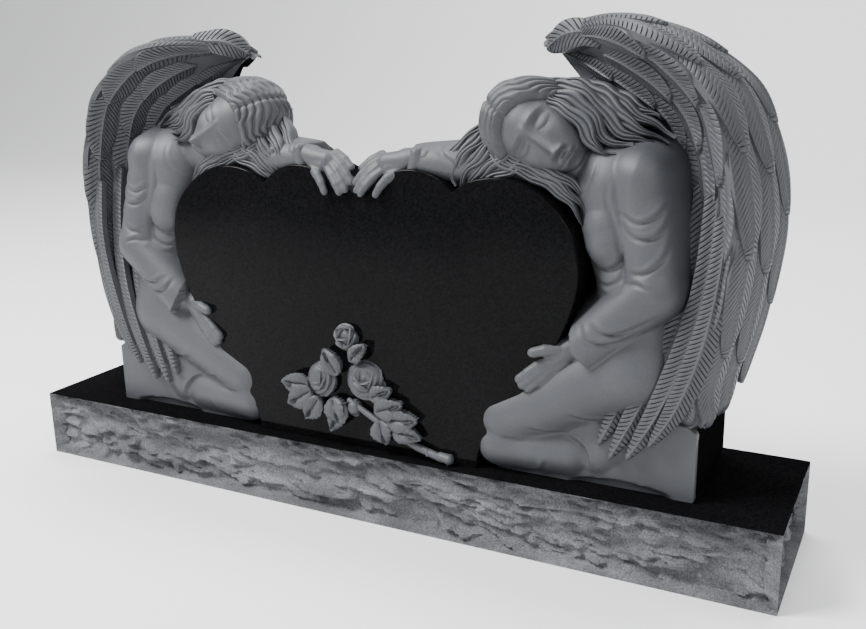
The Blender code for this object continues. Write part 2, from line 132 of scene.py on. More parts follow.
flat_polish = granite(
    "polished_top", [(0.0034, 0.0034, 0.0037), (0.0040, 0.0040, 0.0044), (0.0050, 0.0050, 0.0054)], 0.090,
    crystal=300.0, contrast=0.5, specular=0.0)
split = granite("split_grey", [(0.044, 0.045, 0.049), (0.088, 0.090, 0.096), (0.148, 0.151, 0.159)], 0.88,
                crystal=330.0, contrast=0.42, bump=0.8, cloud_scale=13.0, cloud_stretch=(0.5, 1.0, 2.2))


def chips(x, z, size_x, size_z, seed):
    """Flat chips knocked off the face: each has its own tilt, and they meet in crisp broken ridges."""
    across = x / size_x + 0.35 * z / size_z
    up = z / size_z
    spots, points = noise.voronoi(Vector((across, up, seed)), distance_metric="DISTANCE")
    height = 0.0
    weight = 0.0
    for spot, point in zip(spots[:3], points[:3]):
        tilt = noise.cell_vector(point * 3.7 + Vector((seed, 0.3, 0.1)))
        flat = tilt.x + 0.9 * (tilt.y - 0.5) * (across - point.x)
        flat += 1.3 * (tilt.z - 0.2) * (up - point.y)
        share = math.exp(-14.0 * (spot - spots[0]))
        height += flat * share
        weight += share
    return height / weight


def split_face(spot, seed):
    """How far the split face lies behind its arris: broad hollows, chips of two sizes and fine crumbs."""
    x, y, z = spot
    run = x + y
    bend = 0.012 * noise.noise(Vector((x * 21.0, y * 21.0, z * 30.0 + seed)))
    hollow = noise.noise(Vector((x * 4.0, y * 4.0, z * 10.0 + seed)))
    large = chips(run + bend, z + 0.4 * bend, 0.085, 0.034, seed)
    small = chips(run - bend, z + 0.5 * bend, 0.030, 0.013, seed + 5.0)
    crumb = noise.fractal(Vector((x * 75.0, y * 75.0 + seed, z * 110.0)), 0.7, 2.0, 3)
    return min(1.0, max(0.0, 0.26 + 0.16 * hollow + 0.62 * large + 0.52 * small + 0.11 * crumb))


bm = bmesh.new()
corners = [(base_low.x, base_low.y), (base_high.x, base_low.y), (base_high.x, base_high.y),
           (base_low.x, base_high.y)]
bm.faces.new([bm.verts.new((x, y, base_high.z)) for x, y in corners])
for run, length in enumerate((base_width, base_depth)):
    edges = [e for e in bm.edges if abs((e.verts[0].co - e.verts[1].co)[run]) > 0.5 * length]
    bmesh.ops.subdivide_edges(bm, edges=edges, cuts=round(length / split_step))
grown = bmesh.ops.extrude_face_region(bm, geom=bm.faces[:], use_keep_orig=True)
bmesh.ops.translate(bm, verts=[v for v in grown["geom"] if isinstance(v, bmesh.types.BMVert)],
                    vec=(0.0, 0.0, -base_height))
uprights = [e for e in bm.edges if abs(e.verts[0].co.z - e.verts[1].co.z) > 0.5 * base_height]
bmesh.ops.subdivide_edges(bm, edges=uprights, cuts=round(base_height / split_step), use_grid_fill=True)
for v in bm.verts:
    up = (v.co.z - base_low.z) / base_height
    if up < 1e-4:
        continue
    from_end = min(v.co.x - base_low.x, base_high.x - v.co.x)
    from_face = min(v.co.y - base_low.y, base_high.y - v.co.y)
    ends = from_end < 1e-5
    faces = from_face < 1e-5
    inward = split_depth * split_face(v.co, 3.7 if ends else 0.0)
    inward *= min(1.0, up / foot_fade)
    inward *= min(1.0, (1 - up) / arris_fade)
    inward *= min(1.0, max(from_end, from_face) / corner_fade)
    if up > 0.9999:
        inward = arris_chip * max(0.0, noise.noise(Vector((v.co.x * 70, v.co.y * 70, 4.1))) - 0.15)
    if ends:
        v.co.x -= math.copysign(inward, v.co.x)
    if faces:
        v.co.y -= math.copysign(inward, v.co.y)
for level in (base_high.z, base_low.z):
    flat = [f for f in bm.faces if all(abs(v.co.z - level) < 1e-5 for v in f.verts)]
    bmesh.ops.dissolve_faces(bm, faces=flat)
base_piece = piece_from("rock_pitched_base", bm, split, smooth_angle=38)
base_piece.data.materials.append(flat_polish)
for face in base_piece.data.polygons:
    if abs(face.normal.z) > 0.9 and face.center.z > base_high.z - 0.0005:
        face.material_index = 1
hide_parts("base_slab")

# The tablet is one upright slab of black granite, sawn to the outline of the wings, heads and joined arms.
# Its back and the sides of its foot are polished, and its back falls away to the edges of the carving.
tablet_low, tablet_high = (Vector(c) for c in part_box("carved_tablet"))
axis_x = 0.5 * (tablet_low.x + tablet_high.x)
foot_z = tablet_low.z
back_y = tablet_high.y
rim_y = -0.118
bed_y = -0.094
panel_y = -0.122
block_side = 0.602
block_top = 0.115
side_flare = 0.042
wing_lift = {-1: -0.008, 1: 0.008}
wing_line = [
    (0.574, 0.138, 0.125), (0.618, 0.141, 0.125), (0.655, 0.245, 0.125), (0.677, 0.362, 0.125),
    (0.683, 0.445, 0.125), (0.671, 0.539, 0.118), (0.634, 0.640, 0.092), (0.574, 0.706, 0.055),
    (0.510, 0.738, 0.026), (0.440, 0.749, 0.018), (0.375, 0.746, 0.032), (0.322, 0.735, 0.044),
    (0.297, 0.720, 0.048),
]
under_line = [(0.297, 0.720, 0.048), (0.302, 0.707, 0.050), (0.330, 0.686, 0.050), (0.358, 0.663, 0.050),
              (0.372, 0.648, 0.048)]
head_line = [(0.372, 0.648, 0.048), (0.345, 0.650, 0.010), (0.300, 0.656, -0.004), (0.262, 0.655, -0.008),
             (0.225, 0.643, -0.010), (0.198, 0.618, -0.012), (0.188, 0.588, -0.020), (0.192, 0.563, -0.045)]
arm_line = [(0.192, 0.563, -0.045), (0.150, 0.560, -0.055), (0.100, 0.555, -0.062), (0.060, 0.543, -0.066),
            (0.028, 0.527, -0.060), (0.0, 0.521, -0.056)]
back_slope = 1.7
core_inset = 0.016
core_step = 0.0080
far_away = 9.0


def curve(points, steps=8):
    """A smooth line through the points."""
    pts = np.array([points[0], *points, points[-1]], float)
    t = (np.arange(steps) / steps)[:, None]
    line = [0.5 * (2 * b + (c - a) * t + (2 * a - 5 * b + 4 * c - d) * t ** 2
                   + (3 * b - a - 3 * c + d) * t ** 3)
            for a, b, c, d in zip(pts[:-3], pts[1:-2], pts[2:-1], pts[3:])]
    return np.vstack([*line, pts[-1:]])


def ease(low, high, value):
    """A smooth step, 0 at low and 1 at high."""
    t = np.clip((value - low) / (high - low), 0.0, 1.0)
    return t * t * (3 - 2 * t)


def along(x, z, a, b):
    """Share of the way from a to b, distance off it and which side."""
    way = np.subtract(b, a)[:2]
    length = np.hypot(*way)
    t = ((x - a[0]) * way[0] + (z - a[1]) * way[1]) / length ** 2
    tc = np.clip(t, 0.0, 1.0)
    off = np.hypot(x - a[0] - way[0] * tc, z - a[1] - way[1] * tc)
    side = ((z - a[1]) * way[0] - (x - a[0]) * way[1]) / length
    return tc, off, side


def inside(x, z, ring):
    """True where a point is inside the closed ring."""
    hit = np.zeros(x.shape, bool)
    for a, b in zip(ring, np.roll(ring, -1, axis=0)):
        if a[1] != b[1]:
            crosses = (a[1] > z) != (b[1] > z)
            hit ^= crosses & (x < (b[0] - a[0]) * (z - a[1]) / (b[1] - a[1]) + a[0])
    return hit


def half_line(steps=8):
    """The stone's silhouette from the right foot over to the centre, with the depth of its back edge."""
    block = np.array([(block_side, 0.0, back_y), (block_side, block_top, back_y)])
    rest = [curve(part, steps)[1:] for part in (under_line, head_line, arm_line)]
    return np.vstack([block, curve(wing_line, steps), *rest])


def silhouette(side, shrink=0.0):
    """One half of the outline, lifted for its own wing and drawn in by shrink above the foot block."""
    line = half_line()
    line[:, 1] += wing_lift[side] * ease(0.52, 0.74, line[:, 1])
    if shrink:
        way = np.gradient(line[:, :2], axis=0)
        way /= np.linalg.norm(way, axis=1)[:, None]
        inward = np.column_stack([-way[:, 1], way[:, 0]])
        more = shrink * (1 + 1.5 * ease(0.40, 0.37, line[:, 0]) + 0.9 * ease(0.60, 0.68, line[:, 1]))
        line[2:, :2] += inward[2:] * more[2:, None]
        line[-1, 0] = 0.0
    line[:, 0] *= side
    return line


def full_ring(shrink):
    """Both halves of the outline as one closed ring."""
    return np.vstack([silhouette(1, shrink), silhouette(-1, shrink)[:-1][::-1]])


def sloping_back(x, z):
    """The plain back: flat, and falling forward to the edges of the arms, heads and wing tips."""
    depth = np.full(x.shape, back_y)
    for side in (1, -1):
        line = silhouette(side)[2:]
        for a, b in zip(line[:-1], line[1:]):
            t, off, _ = along(x, z, a, b)
            depth = np.minimum(depth, a[2] + (b[2] - a[2]) * t + back_slope * off)
    return depth


def snap_to(x, z, ring):
    """The nearest place on the ring for each point."""
    best = np.full(x.shape, far_away)
    px, pz = x.copy(), z.copy()
    for a, b in zip(ring, np.roll(ring, -1, axis=0)):
        if np.hypot(*(b - a)[:2]) < 1e-9:
            continue
        t, off, _ = along(x, z, a, b)
        near = off < best
        best = np.where(near, off, best)
        px = np.where(near, a[0] + (b[0] - a[0]) * t, px)
        pz = np.where(near, a[1] + (b[1] - a[1]) * t, pz)
    return px, pz


def relief(low, high, step, front, back, ring=None, keep=None):
    """A closed slab of carving: a fine sheet trimmed to the ring, carved in front, with a back put on."""
    bm = bmesh.new()
    size = np.subtract(high, low)
    columns, rows = (max(2, round(run / step)) for run in size)
    bmesh.ops.create_grid(bm, x_segments=columns, y_segments=rows, size=0.5)
    spots = np.array([v.co[:] for v in bm.verts])
    x = low[0] + (spots[:, 0] + 0.5) * size[0]
    z = low[1] + (spots[:, 1] + 0.5) * size[1]
    stay = inside(x, z, ring) if ring is not None else np.ones(x.shape, bool)
    if keep is not None:
        stay &= keep(x, z)
    for v, a, c in zip(bm.verts, x, z):
        v.co = (a, 0.0, c)
    bmesh.ops.delete(bm, geom=[v for v, s in zip(list(bm.verts), stay) if not s], context="VERTS")
    bmesh.ops.delete(bm, geom=[v for v in bm.verts if not v.link_faces], context="VERTS")
    rim = [v for v in bm.verts if v.is_boundary]
    if ring is not None and rim:
        x = np.array([v.co.x for v in rim])
        z = np.array([v.co.z for v in rim])
        px, pz = snap_to(x, z, ring)
        near = np.hypot(px - x, pz - z) < 1.5 * step
        for v, a, c, n in zip(rim, px, pz, near):
            if n:
                v.co.x = a
                v.co.z = c
    grown = bmesh.ops.extrude_face_region(bm, geom=bm.faces[:], use_keep_orig=True)
    rear = {v for v in grown["geom"] if isinstance(v, bmesh.types.BMVert)}
    fore = [v for v in bm.verts if v not in rear]
    for verts, depth in ((fore, front), (list(rear), back)):
        y = depth(np.array([v.co.x for v in verts]), np.array([v.co.z for v in verts]))
        for v, value in zip(verts, y):
            v.co.y = value
    return bm


def stand(bm):
    """Set a piece drawn from the tablet's foot and centre line in its place on the base."""
    bmesh.ops.translate(bm, verts=bm.verts[:], vec=(axis_x, 0.0, foot_z))
    return bm


def core_front(x, z):
    """The slab behind the carving: forward behind the panel and at the foot, deep behind the wings."""
    hollow = 0.045
    middle = -0.072
    foot = -0.088
    depth = middle + (hollow - middle) * ease(0.20, 0.30, np.abs(x))
    return np.where(z < block_top + 0.03, np.minimum(depth, foot), depth)


core = relief((-0.70, 0.0), (0.70, 0.76), core_step, core_front,
              lambda x, z: np.maximum(sloping_back(x, z), core_front(x, z) + 0.010), full_ring(core_inset))
core_piece = piece_from("polished_tablet_back", stand(core), flat_polish, smooth_angle=40)
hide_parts("carved_tablet")

# The panel is a double heart left standing from the slab's face, polished to a mirror, with its edge
# rounded over by hand and its lower end running down between the knees to the base.
polished = granite(
    "polished_black", [(0.0030, 0.0030, 0.0034), (0.0036, 0.0036, 0.0040), (0.0044, 0.0044, 0.0049)], 0.075,
    crystal=300.0, contrast=0.5, specular=0.05)
panel_edge = 0.013
panel_thick = 0.060
heart_inner = [(0.0, 0.470), (0.030, 0.488), (0.070, 0.507), (0.115, 0.515), (0.158, 0.504), (0.190, 0.480)]
heart_outer = [(0.190, 0.480), (0.220, 0.499), (0.262, 0.507), (0.312, 0.500), (0.360, 0.471), (0.395, 0.430),
               (0.409, 0.380), (0.407, 0.330), (0.388, 0.270), (0.345, 0.190), (0.285, 0.110), (0.240, 0.040),
               (0.232, 0.0)]


def heart_ring():
    """The double heart's outline, from its notch down the right side and up the left."""
    half = np.vstack([curve(heart_inner, 8)[:-1], curve(heart_outer, 8)])
    return np.vstack([half, (half[1:] * (-1, 1))[::-1]])


bm = bmesh.new()
bm.faces.new([bm.verts.new((x, panel_y, z)) for x, z in heart_ring()])
front_edges = bm.edges[:]
grown = bmesh.ops.extrude_face_region(bm, geom=bm.faces[:], use_keep_orig=True)
bmesh.ops.translate(bm, verts=[v for v in grown["geom"] if isinstance(v, bmesh.types.BMVert)],
                    vec=(0.0, panel_thick, 0.0))
rounded = [e for e in front_edges if max(v.co.z for v in e.verts) > 0.002]
bmesh.ops.bevel(bm, geom=rounded, offset=panel_edge, offset_type="OFFSET", segments=6, profile=0.5,
                affect="EDGES", clamp_overlap=True, material=-1)
panel = piece_from("heart_panel", stand(bm), polished, smooth_angle=35)

# Each wing is hollowed out behind its angel from a high rim, and its outside is the slab's own side.
# Feathers are cut one by one, lapped like tiles, each with a raised quill and slanting barbs.
honed = granite(
    "honed_carving", [(0.036, 0.0385, 0.0435), (0.0455, 0.0485, 0.0545), (0.0565, 0.0600, 0.0665)], 0.56,
    crystal=520.0, contrast=0.16, bump=0.22, cloud_scale=5.0)
both_sides = ((-1, "left"), (1, "right"))
wing_steps = 200
quill_steps = 60
feather_room = 0.019
barb_pitch = 0.0092
barb_depth = 0.0036
barb_sweep = 0.95
quill_height = 0.0011
vane = np.array([-1.0, -0.92, -0.55, -0.16, -0.07, 0.0, 0.07, 0.16, 0.55, 0.92, 1.0])
inner_line = [(0.318, 0.702), (0.345, 0.672), (0.385, 0.630), (0.430, 0.595), (0.480, 0.560),
              (0.512, 0.500), (0.520, 0.420), (0.518, 0.330), (0.500, 0.240), (0.470, 0.150)]


def resample(line, count):
    """The line again with its points evenly spaced."""
    gap = np.concatenate([[0.0], np.cumsum(np.linalg.norm(np.diff(line, axis=0), axis=1))])
    spots = np.linspace(0.0, gap[-1], count)
    return np.column_stack([np.interp(spots, gap, line[:, k]) for k in range(line.shape[1])])


def read_line(line, share):
    """The places on an evenly spaced line at shares of its length."""
    spots = share * (len(line) - 1)
    return np.stack([np.interp(spots, np.arange(len(line)), line[:, k]) for k in range(3)], axis=-1)


def mirrored(bm, side):
    """The same carving for the other angel."""
    if side < 0:
        bmesh.ops.scale(bm, verts=bm.verts[:], vec=(-1.0, 1.0, 1.0))
    return bm


class Wing:
    """The faces of one wing as smooth sheets: s runs from the tip down, w across."""

    def __init__(self, side):
        back = curve(wing_line, 8)[::-1]
        back[:, 1] += wing_lift[side] * ease(0.52, 0.74, back[:, 1])
        back = resample(back, wing_steps)
        x, z = back[:, 0], back[:, 1] - feather_room * ease(0.60, 0.735, back[:, 1])
        share = ease(0.30, 0.60, x) * ease(0.10, 0.20, z)
        rim = 0.008 - (0.008 - rim_y) * ease(0.30, 0.54, x)
        self.back = np.column_stack([x, back[:, 2] - 0.006, z])
        self.ridge = np.column_stack([x - side_flare * share, rim + 0.006, z - 0.002])
        inner = resample(curve(inner_line, 8), wing_steps)
        depth = np.interp(np.linspace(0, 1, wing_steps), [0, 0.12, 0.3, 0.62, 0.85, 1],
                          [0.026, 0.020, 0.010, 0.004, -0.050, -0.080])
        self.inner = np.column_stack([inner[:, 0], depth, inner[:, 1]])
        self.length = np.linalg.norm(np.diff(self.ridge, axis=0), axis=1).sum()
        way = np.gradient(self.back[:, [0, 2]], axis=0)
        way /= np.linalg.norm(way, axis=1)[:, None]
        self.out = np.column_stack([-way[:, 1], np.zeros(wing_steps), way[:, 0]])

    def at(self, line, s):
        return read_line(line, np.clip(s, 0.0, 1.0))

    def hollow(self, s, w):
        """The inner face, from the ridge at w 0 to its root behind the body at w 1."""
        s, w = np.broadcast_arrays(s, w)
        ridge = self.at(self.ridge, s)
        root = self.at(self.inner, s)
        spot = ridge + (root - ridge) * w[..., None]
        spot[..., 1] = ridge[..., 1] + (root[..., 1] - ridge[..., 1]) * (1 - (1 - np.clip(w, 0, 1)) ** 1.9)
        return spot

    def flank(self, s, w):
        """The outer face, from the ridge at w 0 to the back arris at w 1, slightly rounded."""
        s, w = np.broadcast_arrays(s, w)
        ridge = self.at(self.ridge, s)
        back = self.at(self.back, s)
        bulge = 0.009 * 4 * w * (1 - w)
        return ridge + (back - ridge) * w[..., None] + self.at(self.out, s) * bulge[..., None]


def facing_of(sheet, s, w, up):
    """The way a sheet faces at a spot."""
    across = sheet(s, w + 0.02) - sheet(s, w - 0.02)
    onward = sheet(s + 0.006, w) - sheet(s - 0.006, w)
    face = np.cross(onward, across)
    face /= np.maximum(np.linalg.norm(face, axis=-1), 1e-9)[..., None]
    flip = np.sign((face * up).sum(-1))
    return face * np.where(flip == 0, 1, flip)[..., None]


def cut_under(bm, verts, facings, drop):
    """Carry the edge of a raised form down into the stone and close it there."""
    ring = [e for e in {e for v in verts for e in v.link_edges} if e.is_boundary]
    grown = bmesh.ops.extrude_edge_only(bm, edges=ring)
    for v in [g for g in grown["geom"] if isinstance(g, bmesh.types.BMVert)]:
        upper = next(o for e in v.link_edges if (o := e.other_vert(v)) in facings)
        v.co -= facings[upper] * drop
    bmesh.ops.contextual_create(bm, geom=[e for e in grown["geom"]
                                          if isinstance(e, bmesh.types.BMEdge) and e.is_boundary])


def feather(bm, place, length, width, proud, flat=0.0, drop=0.011):
    """One feather laid by place(along, across): crowned vanes, barbs cut in chevrons, edges cut down."""
    barbs = max(4, round(length / barb_pitch))
    rows = 4 * barbs
    made = bmesh.ops.create_grid(bm, x_segments=len(vane) - 1, y_segments=rows, size=0.5)
    verts = made["verts"]
    spots = np.array([v.co[:] for v in verts])
    u = vane[np.rint((spots[:, 0] + 0.5) * (len(vane) - 1)).astype(int)]
    row = np.rint((spots[:, 1] + 0.5) * rows).astype(int)
    t = np.minimum((row // 4 + np.array([0.0, 0.34, 0.50, 0.66])[row % 4]) / barbs, 1.0)

    def blade(share):
        half = 0.5 * np.clip(np.sin(math.pi * share ** 1.35), 0.0, 1.0) ** 0.58
        return np.maximum(np.where(share < 0.4, np.maximum(half, 0.42), half), 0.010)

    slant = np.abs(u) * blade(t) * width * barb_sweep / length * ease(0.0, 0.22, 1 - t)
    onward = np.clip(t + slant, 0.0, 1.0)
    half = blade(onward)
    spot, up = place(onward, u * half)
    body = ease(0.10, 0.24, np.abs(u)) * ease(1.0, 0.90, np.abs(u)) * ease(1.0, 0.97, t)
    cut = np.where(row % 4 == 2, barb_depth, 0.0) * body
    quill = quill_height * (np.abs(u) < 0.03) - 0.0012 * ((np.abs(u) > 0.1) & (np.abs(u) < 0.2))
    crown = 0.0042 * (1 - np.abs(u) ** 2.6) * np.minimum(1.0, half / 0.10)
    lift = proud * (flat + (1.0 - flat) * t) + crown + quill * ease(1.0, 0.85, t) - cut
    facings = {}
    for v, co, face in zip(verts, spot + up * lift[:, None], up):
        v.co = co
        facings[v] = Vector(face)
    cut_under(bm, verts, facings, drop)


def on_sheet(sheet, up, s, run, w, lane, drift):
    """Lay a feather in a lane of a sheet, from s for a run, drifting across."""
    def place(t, a):
        ss = s + run * t
        ww = w + drift * t + a * lane
        return sheet(ss, ww), facing_of(sheet, ss, ww, up)
    return place


def on_quill(points, facing, width):
    """Lay a feather along its own quill, facing one way."""
    line = resample(curve(points, 8), quill_steps)
    way = np.gradient(line, axis=0)
    out = np.cross(np.broadcast_to(facing, way.shape), way)
    out /= np.linalg.norm(out, axis=1)[:, None]
    up = np.cross(way, out)
    up /= np.linalg.norm(up, axis=1)[:, None]
    up *= np.sign((up * facing).sum(-1))[:, None]

    def place(t, a):
        return read_line(line, t) + read_line(out, t) * (a * width)[:, None], read_line(up, t)
    return place


def wing_shell(wing):
    """The stone under the feathers, closed behind inside the slab."""
    count = 120
    s = np.linspace(0.0, 1.0, count)
    inner = [wing.hollow(s, np.full(count, w)) for w in np.linspace(1.0, 0.0, 16)]
    outer = [wing.flank(s, np.full(count, w)) for w in np.linspace(0.12, 1.0, 12)]
    behind = outer[-1] * 0.6 + inner[0] * 0.4
    behind[:, 1] = np.maximum(outer[-1][:, 1] - 0.012, inner[0][:, 1] + 0.014)
    rings = np.stack([*inner, *outer, behind], axis=1)
    bm = bmesh.new()
    across = rings.shape[1]
    made = bmesh.ops.create_grid(bm, x_segments=across, y_segments=count - 1, size=0.5)
    for v in made["verts"]:
        column = round((v.co.x + 0.5) * across) % across
        row = round((v.co.y + 0.5) * (count - 1))
        v.co = rings[row, column]
    bmesh.ops.remove_doubles(bm, verts=bm.verts[:], dist=1e-6)
    bmesh.ops.holes_fill(bm, edges=[e for e in bm.edges if e.is_boundary], sides=0)
    return bm


inner_rows = [
    # middle of the lane and its width across the hollow, first and last place, pitch, run, drift, height
    (0.86, 0.29, 0.04, 0.54, 0.105, 0.160, 0.00, 0.0052),
    (0.62, 0.28, 0.00, 0.62, 0.120, 0.180, 0.00, 0.0066),
    (0.37, 0.28, 0.06, 0.66, 0.125, 0.190, 0.00, 0.0080),
    (0.115, 0.26, 0.00, 0.76, 0.140, 0.215, 0.00, 0.0086),
]
flank_rows = [
    (0.83, 0.34, 0.00, 0.70, 0.150, 0.235, 0.00, 0.0064),
    (0.50, 0.36, 0.02, 0.78, 0.155, 0.245, 0.00, 0.0078),
    (0.17, 0.35, 0.00, 0.71, 0.160, 0.290, 0.00, 0.0086),
]
primaries = [
    # quill points down the wing's lower front: across, depth and up, and the width
    ([(0.552, 0.006, 0.520), (0.550, -0.024, 0.390), (0.527, -0.064, 0.265), (0.484, -0.096, 0.160),
      (0.444, -0.106, 0.076)], 0.046),
    ([(0.582, -0.020, 0.510), (0.577, -0.052, 0.380), (0.553, -0.084, 0.255), (0.510, -0.104, 0.148),
      (0.464, -0.109, 0.056)], 0.048),
    ([(0.606, -0.052, 0.500), (0.601, -0.078, 0.370), (0.580, -0.100, 0.250), (0.542, -0.110, 0.148),
      (0.494, -0.113, 0.062)], 0.048),
    ([(0.628, -0.088, 0.470), (0.622, -0.106, 0.360), (0.602, -0.113, 0.250), (0.568, -0.116, 0.155),
      (0.530, -0.116, 0.092)], 0.042),
]
tip_lobes = [
    # rolled feather at the wing's tip, the quill's points, facing and width
    ([(0.424, -0.022, 0.718), (0.384, -0.014, 0.727), (0.342, -0.002, 0.724), (0.304, 0.018, 0.702)],
     (-0.12, -0.97, 0.20), 0.050),
]

for side, label in both_sides:
    wing = Wing(side)
    hollow = wing_shell(wing)
    outside = bmesh.new()
    for bm, sheet, up, rows in ((hollow, wing.hollow, (-0.35, -1.0, 0.0), inner_rows),
                                (outside, wing.flank, (1.0, 0.0, 0.8), flank_rows)):
        for w, lane, first, last, pitch, run, drift, proud in rows:
            s = last
            while s > first - 0.02:
                reach = min(run, 0.99 - s)
                wide = sheet(s + 0.1, w + 0.5 * lane) - sheet(s + 0.1, w - 0.5 * lane)
                breadth = float(np.linalg.norm(wide))
                place = on_sheet(sheet, up, s, reach, w, lane, drift)
                feather(bm, place, reach * wing.length, breadth, proud)
                s -= pitch
    for points, width in primaries:
        feather(hollow, on_quill(points, (0.22, -0.97, 0.04), width), 0.46, width, 0.005, flat=0.6)
    for points, facing, width in tip_lobes:
        feather(hollow, on_quill(points, facing, width), 0.13, width, 0.004, flat=0.7, drop=0.022)
    for bm, name in ((hollow, f"{label}_wing_inside"), (outside, f"{label}_wing_outside")):
        part = piece_from(name, stand(mirrored(bm, side)), honed, smooth_angle=50)

# Each angel kneels in a long gown cut from the slab: trunk and thigh swell forward, and the wide sleeve
# of the outer arm hangs at the wrist. Folds are few, deep crescents rubbed smooth.
steep = 3.4
gown_step = 0.0028
shoulder = (0.490, 0.512)
elbow = (0.522, 0.350)
hip = (0.485, 0.204)
knee = (0.276, 0.094)
heel = (0.388, 0.041)


def limb(x, z, a, b, radius_a, radius_b, core_a, core_b):
    """A round tapered form from a to b whose core runs at depth core_a to core_b, with steep flanks."""
    t, off, _ = along(x, z, a, b)
    radius = radius_a + (radius_b - radius_a) * t
    core = core_a + (core_b - core_a) * t
    knee_at = radius * steep / math.hypot(1.0, steep)
    round_part = core - np.sqrt(np.maximum(radius ** 2 - off ** 2, 0.0))
    wall = core - radius / math.hypot(1.0, steep) + (off - knee_at) * steep
    return np.where(off < knee_at, round_part, wall)


def blend(a, b, width):
    """The nearer of two surfaces, run together over a width."""
    h = np.clip(0.5 + 0.5 * (b - a) / width, 0.0, 1.0)
    return b + (a - b) * h - width * h * (1 - h)


def crease(x, z, points, width, depth):
    """A fold along a line: a soft roll above it and a cut below it, dying out at both ends."""
    line = curve(points, 6)
    best = np.full(x.shape, far_away)
    offset = np.zeros(x.shape)
    share = np.zeros(x.shape)
    for i, (a, b) in enumerate(zip(line[:-1], line[1:])):
        t, off, side = along(x, z, a, b)
        near = off < best
        best = np.where(near, off, best)
        offset = np.where(near, np.sign(side) * off, offset)
        share = np.where(near, (i + t) / (len(line) - 1), share)
    fade = np.sin(math.pi * np.clip(share, 0.02, 0.98)) ** 0.6
    r = offset / width
    return fade * depth * (np.exp(-(r + 0.2) ** 2 * 2.2) - 0.62 * np.exp(-(r - 1.15) ** 2 * 1.4))


folds = [
    # points of the fold, its width and depth
    ([(0.450, 0.505), (0.453, 0.470), (0.468, 0.432), (0.477, 0.389), (0.478, 0.350)], 0.0052, 0.0034),
    ([(0.472, 0.462), (0.501, 0.448), (0.529, 0.460), (0.545, 0.486)], 0.0050, 0.0040),
    ([(0.476, 0.443), (0.497, 0.426), (0.525, 0.426), (0.543, 0.446), (0.550, 0.470)], 0.0055, 0.0044),
    ([(0.488, 0.370), (0.518, 0.374), (0.541, 0.395), (0.552, 0.426)], 0.0050, 0.0038),
    ([(0.480, 0.350), (0.505, 0.356), (0.530, 0.348)], 0.0046, 0.0034),
    ([(0.412, 0.392), (0.424, 0.373), (0.446, 0.366), (0.468, 0.376), (0.478, 0.394)], 0.0060, 0.0046),
    ([(0.414, 0.362), (0.430, 0.348), (0.452, 0.344), (0.476, 0.358)], 0.0050, 0.0038),
    ([(0.424, 0.342), (0.450, 0.329), (0.480, 0.342)], 0.0046, 0.0032),
    ([(0.439, 0.284), (0.457, 0.274), (0.485, 0.277), (0.535, 0.304)], 0.0050, 0.0040),
    ([(0.418, 0.280), (0.432, 0.261), (0.458, 0.256), (0.487, 0.264), (0.508, 0.280)], 0.0052, 0.0042),
    ([(0.398, 0.125), (0.430, 0.115), (0.471, 0.118), (0.515, 0.138)], 0.0048, 0.0036),
    ([(0.330, 0.092), (0.362, 0.084), (0.400, 0.087)], 0.0046, 0.0032),
    ([(0.284, 0.068), (0.306, 0.066), (0.330, 0.068)], 0.0044, 0.0026),
    ([(0.380, 0.082), (0.408, 0.070), (0.424, 0.052), (0.428, 0.034)], 0.0055, 0.0042),
    ([(0.322, 0.006), (0.344, 0.012), (0.356, 0.034)], 0.0044, 0.0030),
    ([(0.394, 0.482), (0.414, 0.493), (0.427, 0.515), (0.430, 0.540)], 0.0040, 0.0024),
]
sleeve_folds = [
    ([(0.150, 0.562), (0.166, 0.540), (0.196, 0.522)], 0.0052, 0.0040),
    ([(0.184, 0.562), (0.206, 0.540), (0.236, 0.526)], 0.0052, 0.0040),
    ([(0.226, 0.562), (0.246, 0.546), (0.280, 0.536)], 0.0050, 0.0034),
]
arch_middle = 0.480
arch_half = 0.080
arch_rise = 0.0135


